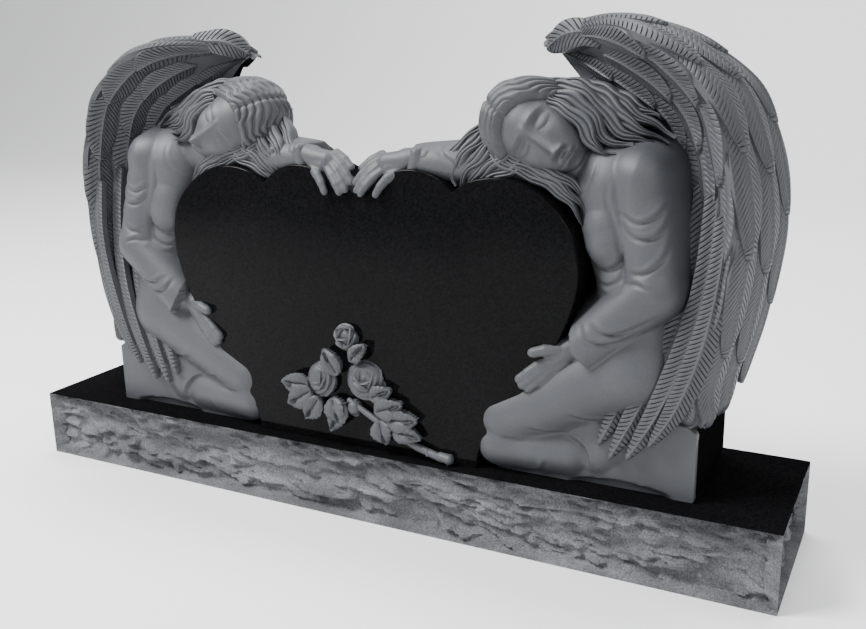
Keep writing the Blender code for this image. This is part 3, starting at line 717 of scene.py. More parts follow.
def gown(u, z):
    """Trunk, thigh, folded leg, skirt and outer arm under one cloth."""
    trunk = limb(u, z, (0.450, 0.492), (0.484, 0.330), 0.078, 0.062, -0.036, -0.042)
    bust = limb(u, z, (0.440, 0.430), (0.446, 0.412), 0.036, 0.038, -0.078, -0.080)
    cloth = blend(trunk, bust, 0.028)
    cloth = blend(cloth, limb(u, z, (0.484, 0.330), hip, 0.064, 0.084, -0.042, -0.044), 0.024)
    skirt = limb(u, z, (0.560, 0.175), (0.440, 0.044), 0.052, 0.030, -0.056, -0.074)
    cloth = blend(cloth, skirt, 0.014)
    calf = limb(u, z, (0.264, 0.046), heel, 0.045, 0.037, -0.084, -0.076)
    cloth = blend(cloth, calf, 0.016)
    under_thigh = (u > 0.262) & (z < np.minimum(0.150, 0.094 + 0.53 * (u - 0.276)))
    cloth = blend(cloth, np.where(under_thigh, -0.100, far_away), 0.014)
    thigh = limb(u, z, hip, knee, 0.084, 0.052, -0.044, -0.080)
    cloth = blend(cloth, thigh, 0.010)
    neck = limb(u, z, (0.392, 0.545), (0.430, 0.506), 0.034, 0.046, -0.024, -0.042)
    cloth = blend(cloth, neck, 0.018)
    collar = limb(u, z, (0.440, 0.522), shoulder, 0.040, 0.047, -0.050, -0.068)
    upper = limb(u, z, shoulder, elbow, 0.047, 0.044, -0.068, -0.087)
    arm = blend(upper, collar, 0.024)
    sleeve = limb(u, z, (0.524, 0.338), (0.412, 0.236), 0.046, 0.041, -0.090, -0.100)
    past_cuff = (0.411 - u) * 0.82 + (0.232 - z) * 0.57 + 6.0 * ((u - 0.411) * 0.57 - (z - 0.232) * 0.82) ** 2
    sleeve = sleeve + 0.080 * ease(-0.0005, 0.0055, past_cuff)
    arm = blend(arm, sleeve, 0.008)
    cloth = blend(cloth, arm, 0.0035)
    wrist = limb(u, z, (0.430, 0.246), (0.392, 0.232), 0.030, 0.019, -0.094, -0.100)
    cloth = np.minimum(cloth, wrist)
    cloth = np.minimum(cloth, np.where((z < 0.150) & (u > 0.40), bed_y, far_away))
    for points, width, depth in folds:
        cloth = cloth + crease(u, z, points, width, depth)
    arch = ((u - arch_middle) / arch_half) ** 2 + (z / arch_rise) ** 2
    return cloth + 0.008 * ease(1.30, 0.70, arch)


def arms(u, z):
    """The inner arm in its sleeve along the top of the hearts, with the wrist coming out."""
    sleeve = limb(u, z, (0.400, 0.522), (0.300, 0.520), 0.040, 0.038, -0.046, -0.058)
    sleeve = blend(sleeve, limb(u, z, (0.300, 0.520), (0.128, 0.521), 0.038, 0.030, -0.062, -0.084), 0.01)
    rim = limb(u, z, (0.118, 0.540), (0.110, 0.504), 0.011, 0.009, -0.104, -0.110)
    sleeve = blend(sleeve, rim, 0.008)
    for points, width, depth in sleeve_folds:
        sleeve = sleeve + crease(u, z, points, width, depth)
    return sleeve


def figure(x, z):
    """The front of both figures, cut off where it would run through the slab's back."""
    u = np.abs(x)
    return np.minimum(np.minimum(gown(u, z), arms(u, z)), 0.100)


def figure_back(x, z):
    """The back of the gown's stone, set in the slab; over the foot block only its front face is honed."""
    deep = np.minimum(np.maximum(figure(x, z) + 0.010, 0.050), sloping_back(x, z))
    return np.where((z < block_top + 0.004) & (np.abs(x) > 0.50), -0.084, deep)


def figure_here(x, z):
    """Only where the gown stands out of the stone behind it."""
    u = np.abs(x)
    front = figure(x, z)
    return (front < core_front(x, z) + 0.012) | ((z < block_top) & (u > 0.40))


ring = full_ring(0.0015)
for side, label in both_sides:
    low, high = ((0.090, 0.0), (block_side, 0.60)) if side > 0 else ((-block_side, 0.0), (-0.090, 0.60))
    bm = relief(low, high, gown_step, figure, figure_back, ring, figure_here)
    body = piece_from(f"{label}_gown", stand(bm), honed, smooth_angle=60)

# Each head rests on the inner arm, tilted to the middle. The face is a plain one cut to the usual
# carver's proportions, eyes closed, and the skin is rubbed smooth like the gown.
head_centre = Vector((0.309, -0.054, 0.573))
face_way = Vector((0.30, -0.93, -0.08))
crown_way = Vector((-0.85, -0.12, 0.52)).normalized()
face_way = (face_way - crown_way * face_way.dot(crown_way)).normalized()
side_way = crown_way.cross(face_way).normalized()
half_width = 0.059
half_depth = 0.068
half_height = 0.082
head_scale = 1.10
head_shift = {-1: 0.024, 1: 0.014}
eye_apart = 0.0245
eye_level = 0.002
nose_level = -0.040
mouth_level = -0.0565
chin_level = -0.080


def head_spot(a, f, c):
    """A place given across, forward and up from the head's middle."""
    return head_centre + (side_way * a + face_way * f + crown_way * c) * head_scale


def bell(value, middle, spread):
    """A soft swelling, 1 high at its middle."""
    return np.exp(-((value - middle) / spread) ** 2)


def face_relief(a, c):
    """How far the features stand forward of the plain face, a across from its middle and c up it."""
    m = np.abs(a)
    eye = m - eye_apart
    depth = 0.0034 * bell(c, 0.0185, 0.007) * bell(m, 0.024, 0.020)
    depth -= 0.0075 * bell(m, eye_apart - 0.002, 0.0150) * bell(c, eye_level + 0.001, 0.0105)
    lid = (eye / 0.0120) ** 2 + ((c - eye_level + 0.001) / 0.0066) ** 2
    depth += 0.0060 * np.exp(-np.clip(lid, 0, 9) ** 1.3)
    lash = eye_level - 0.0072 + 20.0 * eye ** 2
    depth -= 0.0017 * bell(c, lash, 0.0011) * ease(0.0140, 0.0120, np.abs(eye))
    fold = eye_level + 0.0078 - 24.0 * eye ** 2
    depth -= 0.0011 * bell(c, fold, 0.0012) * ease(0.0135, 0.0110, np.abs(eye))
    brow = 0.0165 + 0.003 * np.cos((m - 0.022) / 0.012)
    depth += 0.0010 * bell(c, brow, 0.0022) * ease(0.006, 0.012, m) * ease(0.040, 0.030, m)
    run = np.clip((0.014 - c) / (0.014 - nose_level), 0.0, 1.0)
    bridge = (0.0030 + 0.0125 * run ** 1.25) * np.exp(-(m / (0.0052 + 0.0026 * run)) ** 2)
    depth += bridge * ease(nose_level - 0.0075, nose_level - 0.0010, c) * ease(0.030, 0.012, c)
    depth += 0.0036 * np.exp(-((m / 0.0064) ** 2 + ((c - nose_level) / 0.0060) ** 2))
    depth += 0.0062 * np.exp(-(((m - 0.0092) / 0.0042) ** 2 + ((c - nose_level + 0.0015) / 0.0048) ** 2))
    depth -= 0.0022 * np.exp(-(((m - 0.0048) / 0.0022) ** 2 + ((c - nose_level + 0.0066) / 0.0016) ** 2))
    depth += 0.0055 * bell(m, 0.0, 0.0190) * bell(c, mouth_level, 0.0140)
    depth -= 0.0010 * bell(m, 0.0, 0.0022) * bell(c, nose_level - 0.0105, 0.004)
    corner = ease(0.0205, 0.0120, m)
    bow_line = mouth_level + 0.0006 * np.cos(m / 0.0036) - 0.03 * m
    depth += 0.0030 * bell(c, bow_line + 0.0031, 0.0023) * corner
    depth += 0.0040 * bell(c, bow_line - 0.0042, 0.0029) * ease(0.0175, 0.0080, m)
    depth -= 0.0024 * bell(c, bow_line, 0.0010) * ease(0.0215, 0.0170, m)
    depth -= 0.0026 * bell(m, 0.0, 0.012) * bell(c, mouth_level - 0.0118, 0.0034)
    depth += 0.0050 * bell(m, 0.0, 0.0130) * bell(c, chin_level + 0.004, 0.0095)
    depth += 0.0034 * bell(m, 0.034, 0.0155) * bell(c, -0.022, 0.0155)
    return depth


def head_shape(directions):
    """The plain head in its own axes: across, forward and up, for directions on a ball."""
    a, f, c = directions.T
    low = ease(0.0, 1.0, -c)
    full = np.maximum(1 - np.abs(c) ** np.where(c < 0, 3.6, 2.3), 1e-6)
    flesh = np.sqrt(full) / np.sqrt(np.maximum(1 - c ** 2, 1e-6))
    wide = (1.0 - 0.27 * low) * flesh
    deep = flesh * np.where(f > 0, 1.0 - 0.02 * low, 1.0 + 0.10 * (1 - low) - 0.25 * low)
    return np.column_stack([a * wide * half_width, f * deep * half_depth, c * half_height])


def head_mesh():
    """One head with its face, fine at the front and coarse behind."""
    bm = bmesh.new()
    bmesh.ops.create_icosphere(bm, subdivisions=6, radius=1.0)
    ball = np.array([v.co[:] for v in bm.verts])
    ball[:, 1] += 0.55
    ball /= np.linalg.norm(ball, axis=1)[:, None]
    spot = head_shape(ball)
    front = ease(0.10, 0.45, ball[:, 1])
    spot[:, 1] += face_relief(spot[:, 0], spot[:, 2]) * front
    for v, (a, f, c) in zip(bm.verts, spot):
        v.co = head_spot(a, f, c)
    return bm


def set_over(bm, side):
    """Both heads sit a little to the right of the mirrored place, the left one more."""
    bmesh.ops.translate(bm, verts=bm.verts[:], vec=(head_shift[side], 0.0, 0.0))
    return bm


for side, label in both_sides:
    head = piece_from(f"{label}_head", set_over(stand(mirrored(head_mesh(), side)), side), honed)

# The hair is parted in the middle and cut in deep wavy strands over the crown. Its ends fall over the
# shoulder and down between the face and the heart, where they thin out to nothing.
strand_count = 44
strand_depth = 0.0056
hair_thick = 0.0130
lock_strands = 3
lock_thick = 0.009
lock_root = 0.55
lock_tip = 0.18
lock_sway = 0.0016
lock_facing = np.array((0.0, -0.96, 0.28))
lock_sink = 0.014
lock_front = -0.101


def hair_cap(seed):
    """Hair close to the head: rings of strands from the parting, sunk away where the face looks out."""
    bm = bmesh.new()
    bmesh.ops.create_uvsphere(bm, u_segments=strand_count * 8, v_segments=64, radius=1.0)
    ball = np.array([v.co[:] for v in bm.verts])
    turn = np.arctan2(ball[:, 1], ball[:, 0])
    a = np.clip(ball[:, 2], -1, 1)
    m = np.abs(a)
    wave = 0.050 * np.sin(8.5 * m + 1.7 * np.sin(turn * 2 + seed) + np.sign(a) * 0.6) * ease(0.0, 0.3, m)
    wave += 0.022 * np.sin(19.0 * m + turn * 5) * ease(0.1, 0.5, m)
    swing = turn + wave
    ring = np.sqrt(np.maximum(1 - a ** 2, 0.0))
    drop = -0.62 * m ** 0.9 * ring
    reach_f = np.cos(swing)
    reach_c = np.sin(swing)
    b = drop * reach_c
    far = -b + np.sqrt(np.maximum(b ** 2 - drop ** 2 + ring ** 2, 0.0))
    shell = np.column_stack([a, far * reach_f, drop + far * reach_c])
    shell /= np.maximum(np.linalg.norm(shell, axis=1), 1e-9)[:, None]
    plain = head_shape(shell)
    oval = np.sqrt((plain[:, 0] / 0.0555) ** 2 + ((plain[:, 2] + 0.022) / 0.0720) ** 2)
    face = ease(1.07, 0.98, oval) * ease(0.018, 0.030, plain[:, 1])
    phase = turn * strand_count / 2
    groove = np.abs(np.sin(phase)) ** 0.6
    lump = 0.0020 * np.sin(phase / 4.6 + seed) + 0.0012 * np.sin(phase / 2.3 + 2.0)
    parting = 0.0040 * np.exp(-(plain[:, 0] / 0.0024) ** 2) * ease(-0.02, 0.02, plain[:, 2])
    neck = ease(-0.060, -0.084, plain[:, 2])
    fade = ease(1.0, 0.96, m)
    lift = hair_thick + (strand_depth * (groove - 0.6) + lump) * fade - parting
    lift = lift * (1 - face) - 0.009 * face - 0.010 * neck
    for v, (x, f, c) in zip(bm.verts, plain + shell * lift[:, None]):
        v.co = head_spot(x, f, c)
    return bm


def lock(bm, points, width, phase):
    """A lock of hair along its middle line: strands side by side with grooves between them."""
    line = curve(points, 8)
    line[:, 1] = np.maximum(line[:, 1], lock_front)
    length = np.linalg.norm(np.diff(line, axis=0), axis=1).sum()
    rows = max(8, round(length / 0.0042))
    line = resample(line, rows + 1)
    way = np.gradient(line, axis=0)
    way /= np.linalg.norm(way, axis=1)[:, None]
    up = lock_facing - way * (way @ lock_facing)[:, None]
    up /= np.linalg.norm(up, axis=1)[:, None]
    out = np.cross(up, way)
    made = bmesh.ops.create_grid(bm, x_segments=lock_strands * 6, y_segments=rows, size=0.5)
    verts = made["verts"]
    spots = np.array([v.co[:] for v in verts])
    u = 2 * spots[:, 0]
    row = np.rint((spots[:, 1] + 0.5) * rows).astype(int)
    t = row / rows
    half = 0.5 * width * (lock_root + (1 - lock_root) * ease(0.0, 0.3, t))
    half = half * (1 - (1 - lock_tip) * ease(0.55, 1.0, t))
    bend = lock_sway * np.sin(2 * math.pi * (t * length / 0.052 + phase)) * ease(0.0, 0.2, t)
    strand = np.abs(np.sin(0.5 * math.pi * lock_strands * (u + 1))) ** 0.6
    lift = lock_thick * np.sqrt(np.maximum(1 - 0.96 * u ** 2, 0.0)) * (1 - 0.45 * ease(0.6, 1.0, t))
    lift *= 0.15 + 0.85 * ease(0.0, 0.28, t)
    lift += 0.0040 * (strand - 0.7) * ease(1.0, 0.85, t)
    lift += 0.0012 * np.sin(3.0 * u + 9.0 * t + phase * 6)
    side = u * half + bend + 0.0012 * np.sin(11.0 * t + 2.5 * u + phase * 5)
    facings = {}
    for v, r, d, h in zip(verts, row, side, lift):
        v.co = line[r] + out[r] * d + up[r] * h
        facings[v] = Vector(up[r])
    cut_under(bm, verts, facings, lock_sink)


locks = [
    # middle line as across, depth and up, and the width
    ([(0.330, -0.096, 0.626), (0.366, -0.094, 0.610), (0.392, -0.092, 0.588), (0.404, -0.090, 0.564),
      (0.420, -0.092, 0.549), (0.440, -0.086, 0.549)], 0.026),
    ([(0.318, -0.080, 0.640), (0.362, -0.082, 0.628), (0.396, -0.080, 0.604), (0.414, -0.080, 0.576),
      (0.434, -0.080, 0.560), (0.462, -0.070, 0.562)], 0.028),
    ([(0.308, -0.056, 0.648), (0.358, -0.062, 0.642), (0.402, -0.066, 0.618), (0.428, -0.068, 0.590),
      (0.452, -0.064, 0.572), (0.490, -0.054, 0.564)], 0.028),
    ([(0.304, -0.028, 0.652), (0.360, -0.036, 0.648), (0.410, -0.048, 0.624), (0.440, -0.056, 0.598),
      (0.470, -0.056, 0.582), (0.512, -0.048, 0.562)], 0.028),
    ([(0.310, -0.004, 0.650), (0.366, -0.012, 0.646), (0.416, -0.030, 0.628), (0.452, -0.042, 0.606),
      (0.486, -0.044, 0.590), (0.520, -0.040, 0.570)], 0.028),
    ([(0.320, 0.010, 0.646), (0.372, 0.004, 0.640), (0.418, -0.012, 0.630), (0.458, -0.026, 0.612),
      (0.492, -0.032, 0.600)], 0.028),
    ([(0.218, -0.076, 0.584), (0.230, -0.090, 0.554), (0.256, -0.102, 0.532), (0.288, -0.110, 0.517),
      (0.324, -0.112, 0.504), (0.356, -0.110, 0.486), (0.382, -0.102, 0.460), (0.397, -0.092, 0.426)], 0.022),
    ([(0.236, -0.088, 0.568), (0.258, -0.100, 0.542), (0.292, -0.108, 0.527), (0.328, -0.110, 0.514),
      (0.360, -0.106, 0.496), (0.386, -0.098, 0.472), (0.402, -0.088, 0.440)], 0.022),
    ([(0.266, -0.090, 0.542), (0.298, -0.102, 0.532), (0.336, -0.104, 0.520), (0.370, -0.096, 0.502),
      (0.395, -0.088, 0.478), (0.407, -0.080, 0.450)], 0.020),
    ([(0.304, -0.092, 0.544), (0.286, -0.108, 0.526), (0.254, -0.116, 0.511), (0.220, -0.119, 0.494),
      (0.195, -0.118, 0.477)], 0.024),
    ([(0.280, -0.088, 0.560), (0.256, -0.106, 0.536), (0.226, -0.114, 0.515), (0.203, -0.116, 0.494),
      (0.190, -0.115, 0.478)], 0.024),
    ([(0.254, -0.080, 0.576), (0.230, -0.098, 0.548), (0.204, -0.110, 0.524), (0.188, -0.113, 0.500),
      (0.184, -0.112, 0.482)], 0.024),
    ([(0.236, -0.066, 0.588), (0.208, -0.088, 0.560), (0.184, -0.104, 0.533), (0.172, -0.109, 0.508),
      (0.176, -0.109, 0.488)], 0.024),
    ([(0.218, -0.048, 0.594), (0.190, -0.072, 0.566), (0.168, -0.092, 0.540), (0.156, -0.102, 0.518),
      (0.162, -0.104, 0.500)], 0.022),
]

for side, label in both_sides:
    bm = hair_cap(1.0 + side)
    cap = piece_from(f"{label}_hair_crown", set_over(stand(mirrored(bm, side)), side), honed)
    bm = bmesh.new()
    for k, (points, width) in enumerate(locks):
        lock(bm, points, width, 0.37 * k)
    ends = piece_from(f"{label}_hair_locks", set_over(stand(mirrored(bm, side)), side), honed,
                      smooth_angle=60)

# Both hands of each angel are cut free at the fingers: the inner one reaches to the middle of the
# hearts from its sleeve, the outer one lies on the thigh with its fingers hanging by the panel.
hand_mesh_size = 0.0019


def tapered(bm, a, b, radius_a, radius_b):
    """A finger bone or palm with round ends, from a to b."""
    a, b = Vector(a), Vector(b)
    way = b - a
    made = bmesh.ops.create_uvsphere(bm, u_segments=20, v_segments=14, radius=1.0)
    turn = Vector((0.0, 0.0, 1.0)).rotation_difference(way.normalized()).to_matrix()
    for v in made["verts"]:
        co = v.co.copy()
        radius = radius_a + (radius_b - radius_a) * (0.0 if co.z < 0 else 1.0 if co.z > 0 else 0.5)
        stretch = way.length if co.z >= 0 else 0.0
        v.co = a + turn @ Vector((co.x * radius, co.y * radius, co.z * radius + stretch))


def finger(bm, points, radius_root, radius_tip):
    """A finger through its knuckles, thinning to the tip."""
    steps = len(points) - 1
    for k in range(steps):
        first = radius_root + (radius_tip - radius_root) * k / steps
        last = radius_root + (radius_tip - radius_root) * (k + 1) / steps
        tapered(bm, points[k], points[k + 1], first, last)


upper_fingers = [
    # knuckle points of each finger and its thickness at root and tip
    ([(0.052, -0.106, 0.520), (0.033, -0.116, 0.504), (0.020, -0.123, 0.488), (0.011, -0.127, 0.475)],
     0.0088, 0.0058),
    ([(0.056, -0.110, 0.509), (0.041, -0.121, 0.496), (0.029, -0.128, 0.482), (0.021, -0.131, 0.470)],
     0.0086, 0.0056),
    ([(0.048, -0.101, 0.529), (0.027, -0.109, 0.514), (0.013, -0.115, 0.499), (0.004, -0.119, 0.487)],
     0.0086, 0.0056),
    ([(0.046, -0.094, 0.535), (0.024, -0.100, 0.524), (0.009, -0.105, 0.511)], 0.0078, 0.0054),
    ([(0.086, -0.110, 0.508), (0.069, -0.122, 0.497), (0.058, -0.128, 0.483), (0.051, -0.131, 0.470)],
     0.0098, 0.0060),
]
upper_palm = [((0.130, -0.092, 0.531), (0.092, -0.096, 0.528), 0.0200, 0.0185),
              ((0.096, -0.098, 0.527), (0.056, -0.102, 0.522), 0.0185, 0.0150),
              ((0.090, -0.102, 0.518), (0.062, -0.108, 0.513), 0.0150, 0.0110)]
lower_fingers = [
    ([(0.360, -0.112, 0.214), (0.341, -0.119, 0.200), (0.325, -0.124, 0.187), (0.312, -0.126, 0.177)],
     0.0110, 0.0076),
    ([(0.363, -0.112, 0.207), (0.345, -0.119, 0.192), (0.329, -0.124, 0.178), (0.317, -0.125, 0.167)],
     0.0110, 0.0076),
    ([(0.367, -0.111, 0.201), (0.351, -0.117, 0.185), (0.337, -0.121, 0.171), (0.327, -0.122, 0.161)],
     0.0106, 0.0074),
    ([(0.373, -0.108, 0.195), (0.359, -0.113, 0.180), (0.348, -0.116, 0.169)], 0.0098, 0.0070),
    ([(0.376, -0.113, 0.232), (0.354, -0.123, 0.231), (0.336, -0.128, 0.226)], 0.0112, 0.0082),
]
lower_palm = [((0.408, -0.098, 0.242), (0.384, -0.101, 0.228), 0.0210, 0.0205),
              ((0.386, -0.102, 0.227), (0.362, -0.106, 0.212), 0.0195, 0.0175),
              ((0.382, -0.102, 0.214), (0.370, -0.105, 0.202), 0.0165, 0.0140)]


def hands():
    """Both hands of the right angel, fingers and palms in one mesh."""
    bm = bmesh.new()
    for points, root, tip in upper_fingers + lower_fingers:
        finger(bm, points, root, tip)
    for a, b, root, tip in upper_palm + lower_palm:
        tapered(bm, a, b, root, tip)
    return bm


for side, label in both_sides:
    pair = piece_from(f"{label}_hands", stand(mirrored(hands(), side)), honed)
    fused = pair.modifiers.new("fuse", "REMESH")
    fused.mode = "VOXEL"
    fused.voxel_size = hand_mesh_size
    fused.use_smooth_shade = True
    rubbed = pair.modifiers.new("rub", "SMOOTH")
    rubbed.factor = 0.5
    rubbed.iterations = 8

# A spray of roses lies at the foot of the panel, cut from the stone left in front of it and honed so
# that it stands grey on the polish: open blooms, buds, veined leaves and a thorny stem.
bloom_depth = 0.004
spray_front = -0.148


def petal(bm, centre, way, up, width, length, cup, curl, lean, thick=0.0022):
    """One petal from the bloom's heart outward: cupped across, its rim rolled back."""
    rows, columns = 12, 12
    made = bmesh.ops.create_grid(bm, x_segments=columns, y_segments=rows, size=0.5)
    across = np.cross(up, way)
    for v in made["verts"]:
        u = 2 * v.co.x
        t = v.co.y + 0.5
        half = 0.5 * width * (0.45 + 0.55 * math.sin(math.pi * min(1.0, 0.18 + 0.60 * t))) * (1 - 0.10 * t)
        rim = t * (1 - 0.16 * u * u)
        rise = lean * math.sin(0.5 * math.pi * rim) - curl * max(0.0, rim - 0.62) ** 2 * 6.0
        reach = length * (rim - 0.10 * lean / length * rim)
        sag = cup * (u * u) * (0.4 + 0.6 * t)
        spot = np.asarray(centre) + way * reach + across * (u * half) + up * (rise + sag)
        v.co = spot
    faces = list({f for v in made["verts"] for f in v.link_faces})
    bmesh.ops.recalc_face_normals(bm, faces=faces)
    bmesh.ops.solidify(bm, geom=faces, thickness=thick)


def bloom(bm, x, z, radius, facing, rings, seed):
    """An open rose: a wound heart and rings of petals lying back round it."""
    up = np.asarray(facing, float)
    up /= np.linalg.norm(up)
    side = np.cross(up, (0.0, 0.0, 1.0))
    side /= np.linalg.norm(side)
    rise = np.cross(side, up)
    base = np.array([x, panel_y + 0.004 + bloom_depth, z]) + up * 0.002
    heart = bmesh.ops.create_uvsphere(bm, u_segments=28, v_segments=14, radius=radius * 0.24)
    for v in heart["verts"]:
        turn = math.atan2(v.co.y, v.co.x)
        wound = 1.0 + 0.10 * math.sin(3 * turn + v.co.z / radius * 16)
        local = Vector((v.co.x * wound, v.co.y * wound, v.co.z * 1.5))
        v.co = Vector(base + side * local.x + rise * local.y + up * (local.z + radius * 0.36))
    for k, (count, share, lean, curl, start) in enumerate(rings):
        for j in range(count):
            turn = 2 * math.pi * (j + start + 0.13 * math.sin(seed + 3 * j)) / count
            way = side * math.cos(turn) + rise * math.sin(turn)
            reach = radius * share
            root = base + way * radius * 0.10 + up * (radius * 0.05)
            petal(bm, root, way, up, reach * (2.5 if count < 4 else 1.62), reach, -reach * 0.10, reach * curl,
                  radius * lean)


open_rings = [(5, 0.98, 0.22, 0.16, 0.0), (5, 0.80, 0.42, 0.14, 0.5), (4, 0.60, 0.56, 0.10, 0.2),
              (3, 0.42, 0.62, 0.05, 0.6), (3, 0.30, 0.64, 0.02, 0.1)]
bud_rings = [(4, 0.80, 0.75, 0.16, 0.2), (3, 0.60, 0.95, 0.10, 0.6), (3, 0.42, 1.05, 0.05, 0.1)]
blooms = [
    # across, up, radius, facing and rings of each rose
    (0.016, 0.134, 0.037, (0.10, -0.95, 0.30), open_rings, 0.3),
    (-0.080, 0.122, 0.034, (-0.28, -0.93, 0.22), open_rings, 1.7),
    (-0.022, 0.206, 0.026, (0.02, -0.92, 0.39), bud_rings, 2.1),
    (-0.010, 0.078, 0.016, (0.05, -0.80, -0.60), bud_rings, 0.9),
]
leaf_vein = 0.0018
leaves = [
    # root and tip as across and up, the width, and how far it stands out
    ((-0.040, 0.140), (-0.066, 0.184), 0.036, 0.014),
    ((-0.106, 0.108), (-0.162, 0.112), 0.040, 0.012),
    ((-0.100, 0.098), (-0.150, 0.070), 0.042, 0.014),
    ((-0.084, 0.086), (-0.112, 0.044), 0.040, 0.013),
    ((-0.052, 0.092), (-0.036, 0.044), 0.040, 0.015),
    ((-0.030, 0.082), (-0.058, 0.028), 0.036, 0.012),
    ((0.030, 0.104), (0.070, 0.124), 0.032, 0.013),
    ((0.040, 0.078), (0.092, 0.102), 0.040, 0.015),
    ((0.058, 0.068), (0.122, 0.076), 0.042, 0.014),
    ((0.046, 0.062), (0.060, 0.022), 0.040, 0.014),
    ((0.070, 0.056), (0.128, 0.040), 0.036, 0.012),
    ((-0.010, 0.172), (0.020, 0.200), 0.026, 0.013),
]
stem = [(-0.020, -0.128, 0.090), (0.020, -0.130, 0.070), (0.070, -0.131, 0.044), (0.120, -0.131, 0.024),
        (0.168, -0.130, 0.010)]
thorns = [
    # root as across, depth and up, the rise of its point and how far that lies onward
    (0.052, -0.133, 0.058, 0.013, 0.004),
    (0.104, -0.134, 0.036, 0.012, 0.005),
    (0.140, -0.134, 0.022, -0.009, 0.004),
]


def leaf_on(bm, root, tip, width, stand_out, seed):
    """A pointed leaf with a sunk midrib and slanting veins, its edges lifted from the panel."""
    rows, columns = 36, 12
    root = np.array([root[0], panel_y - 0.004, root[1]])
    tip = np.array([tip[0], panel_y - 0.004, tip[1]])
    way = tip - root
    length = np.linalg.norm(way)
    way /= length
    across = np.cross((0.0, -1.0, 0.0), way)
    made = bmesh.ops.create_grid(bm, x_segments=columns, y_segments=rows, size=0.5)
    for v in made["verts"]:
        u = 2 * v.co.x
        t = v.co.y + 0.5
        half = 0.5 * width * math.sin(math.pi * t ** 0.72) ** 0.85 + 0.0004
        slant = t - 0.42 * abs(u) * half / length * 2
        vein = leaf_vein * abs(math.sin(math.pi * 5.5 * slant)) ** 0.6
        vein *= min(1.0, abs(u) * 3.0)
        vein *= math.sin(math.pi * t)
        rib = -0.0016 * math.exp(-(u / 0.10) ** 2)
        lift = stand_out * (0.55 + 0.45 * math.sin(math.pi * t)) - 0.004 * (abs(u) - 0.5) ** 2 * 4
        lift += 0.0035 * abs(u)
        tooth = 1.0 + 0.05 * math.sin(math.pi * 11 * t)
        out = np.array([0.0, -(lift + vein + rib), 0.0])
        v.co = root + way * (length * t) + across * (u * half * tooth) + out
        v.co.z += 0.0015 * math.sin(4 * t + seed)
    faces = list({f for v in made["verts"] for f in v.link_faces})
    bmesh.ops.recalc_face_normals(bm, faces=faces)
    bmesh.ops.solidify(bm, geom=faces, thickness=0.0030)


def stone_behind(x, z):
    """The mound left between the flowers and the panel."""
    mound = np.zeros(x.shape)
    for bx, bz, radius, _, _, _ in blooms:
        mound = np.maximum(mound, 0.017 * (1 - ((np.hypot(x - bx, z - bz)) / (radius * 0.95)) ** 4))
    for root, tip, width, _ in leaves:
        t, off, _ = along(x, z, root, tip)
        half = 0.5 * width * np.sin(math.pi * np.clip(t, 0.02, 0.98) ** 0.72) ** 0.85 * 0.86
        mound = np.maximum(mound, 0.011 * np.clip((1 - (off / half) ** 6), -1, 1))
    return mound


spray = relief((-0.17, 0.015), (0.14, 0.24), 0.0022,
               lambda x, z: panel_y - np.maximum(stone_behind(x, z), 0.0),
               lambda x, z: np.full(x.shape, panel_y + 0.006), None, lambda x, z: stone_behind(x, z) > 0.0)
for x, z, radius, facing, rings, seed in blooms:
    bloom(spray, x, z, radius, facing, rings, seed)
for k, (root, tip, width, stand_out) in enumerate(leaves):
    leaf_on(spray, root, tip, width, stand_out, k)
for k, (a, b) in enumerate(zip(stem[:-1], stem[1:])):
    tapered(spray, a, b, 0.0054 + 0.0006 * k, 0.0060 + 0.0006 * k)
for x, y, z, up, out in thorns:
    tapered(spray, (x, y, z), (x + out, y - 0.004, z + up), 0.0040, 0.0008)
tapered(spray, (0.166, -0.130, 0.014), (0.180, -0.130, 0.011), 0.0080, 0.0110)
for v in spray.verts:
    v.co.y = max(v.co.y, spray_front)
flowers = piece_from("rose_spray", stand(spray), honed, smooth_angle=50)

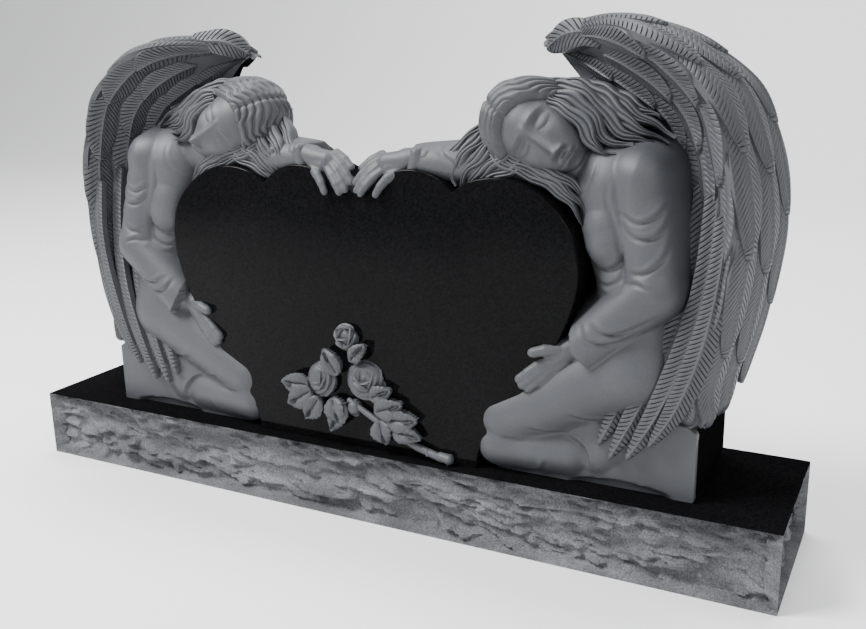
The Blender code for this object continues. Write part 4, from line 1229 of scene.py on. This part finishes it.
# The floor is plain pale paper that sweeps up behind the stone, under soft studio boxes. The camera
# stands at the photograph's angle, at about the height of the wings.
floor_size = 12.0
sweep_start = 4.2
sweep_radius = 3.0
bm = bmesh.new()
bmesh.ops.create_grid(bm, x_segments=8, y_segments=160, size=floor_size)
for v in bm.verts:
    past = v.co.y - sweep_start
    if past > 0:
        turn = min(past / sweep_radius, 0.5 * math.pi)
        v.co.y = sweep_start + sweep_radius * math.sin(turn)
        v.co.z = sweep_radius * (1 - math.cos(turn)) + max(0.0, past - 0.5 * math.pi * sweep_radius)
floor_mesh = bpy.data.meshes.new("floor")
bm.to_mesh(floor_mesh)
bm.free()
floor = bpy.data.objects.new("floor", floor_mesh)
bpy.context.scene.collection.objects.link(floor)
paper = bpy.data.materials.new("pale_floor")
paper.use_nodes = True
paper.node_tree.nodes["Principled BSDF"].inputs["Base Color"].default_value = (0.86, 0.86, 0.86, 1.0)
paper.node_tree.nodes["Principled BSDF"].inputs["Roughness"].default_value = 0.9
floor_mesh.materials.append(paper)

world = bpy.data.worlds.new("studio")
bpy.context.scene.world = world
world.use_nodes = True
world.node_tree.nodes["Background"].inputs["Color"].default_value = (0.96, 0.97, 1.0, 1.0)
world.node_tree.nodes["Background"].inputs["Strength"].default_value = 0.74


def softbox(name, place, aim, size, power):
    """A square studio light, turned to what it lights."""
    light = bpy.data.lights.new(name, "AREA")
    light.shape = "RECTANGLE"
    light.size, light.size_y = size
    light.energy = power
    lamp = bpy.data.objects.new(name, light)
    bpy.context.scene.collection.objects.link(lamp)
    lamp.location = place
    lamp.rotation_euler = (Vector(aim) - Vector(place)).to_track_quat("-Z", "Y").to_euler()


softbox("key", (-1.9, -1.7, 3.4), (0.0, 0.0, 0.4), (1.6, 1.6), 345.0)
softbox("fill", (2.8, -2.4, 2.4), (0.0, 0.0, 0.4), (2.2, 2.2), 60.0)
softbox("backdrop_wash", (0.0, 1.6, 5.5), (0.0, 4.2, 0.0), (4.0, 2.0), 420.0)

camera_place = (0.925, -1.570, 0.848)
camera_turn = math.radians(27.629)
camera_dip = math.radians(15.175)
camera_roll = math.radians(-1.141)
focal_pixels = 992.25
image_width = 866
camera = bpy.data.cameras.new("photo")
camera.sensor_width = 36.0
camera.lens = focal_pixels / image_width * camera.sensor_width
view = bpy.data.objects.new("photo", camera)
bpy.context.scene.collection.objects.link(view)
view.location = camera_place
back = Vector((math.sin(camera_turn) * math.cos(camera_dip), -math.cos(camera_turn) * math.cos(camera_dip),
               math.sin(camera_dip)))
right = Vector((math.cos(camera_turn), math.sin(camera_turn), 0.0))
up = back.cross(right)
right, up = (right * math.cos(camera_roll) + up * math.sin(camera_roll),
             up * math.cos(camera_roll) - right * math.sin(camera_roll))
view.rotation_euler = Matrix((right, up, back)).transposed().to_euler()
bpy.context.scene.camera = view
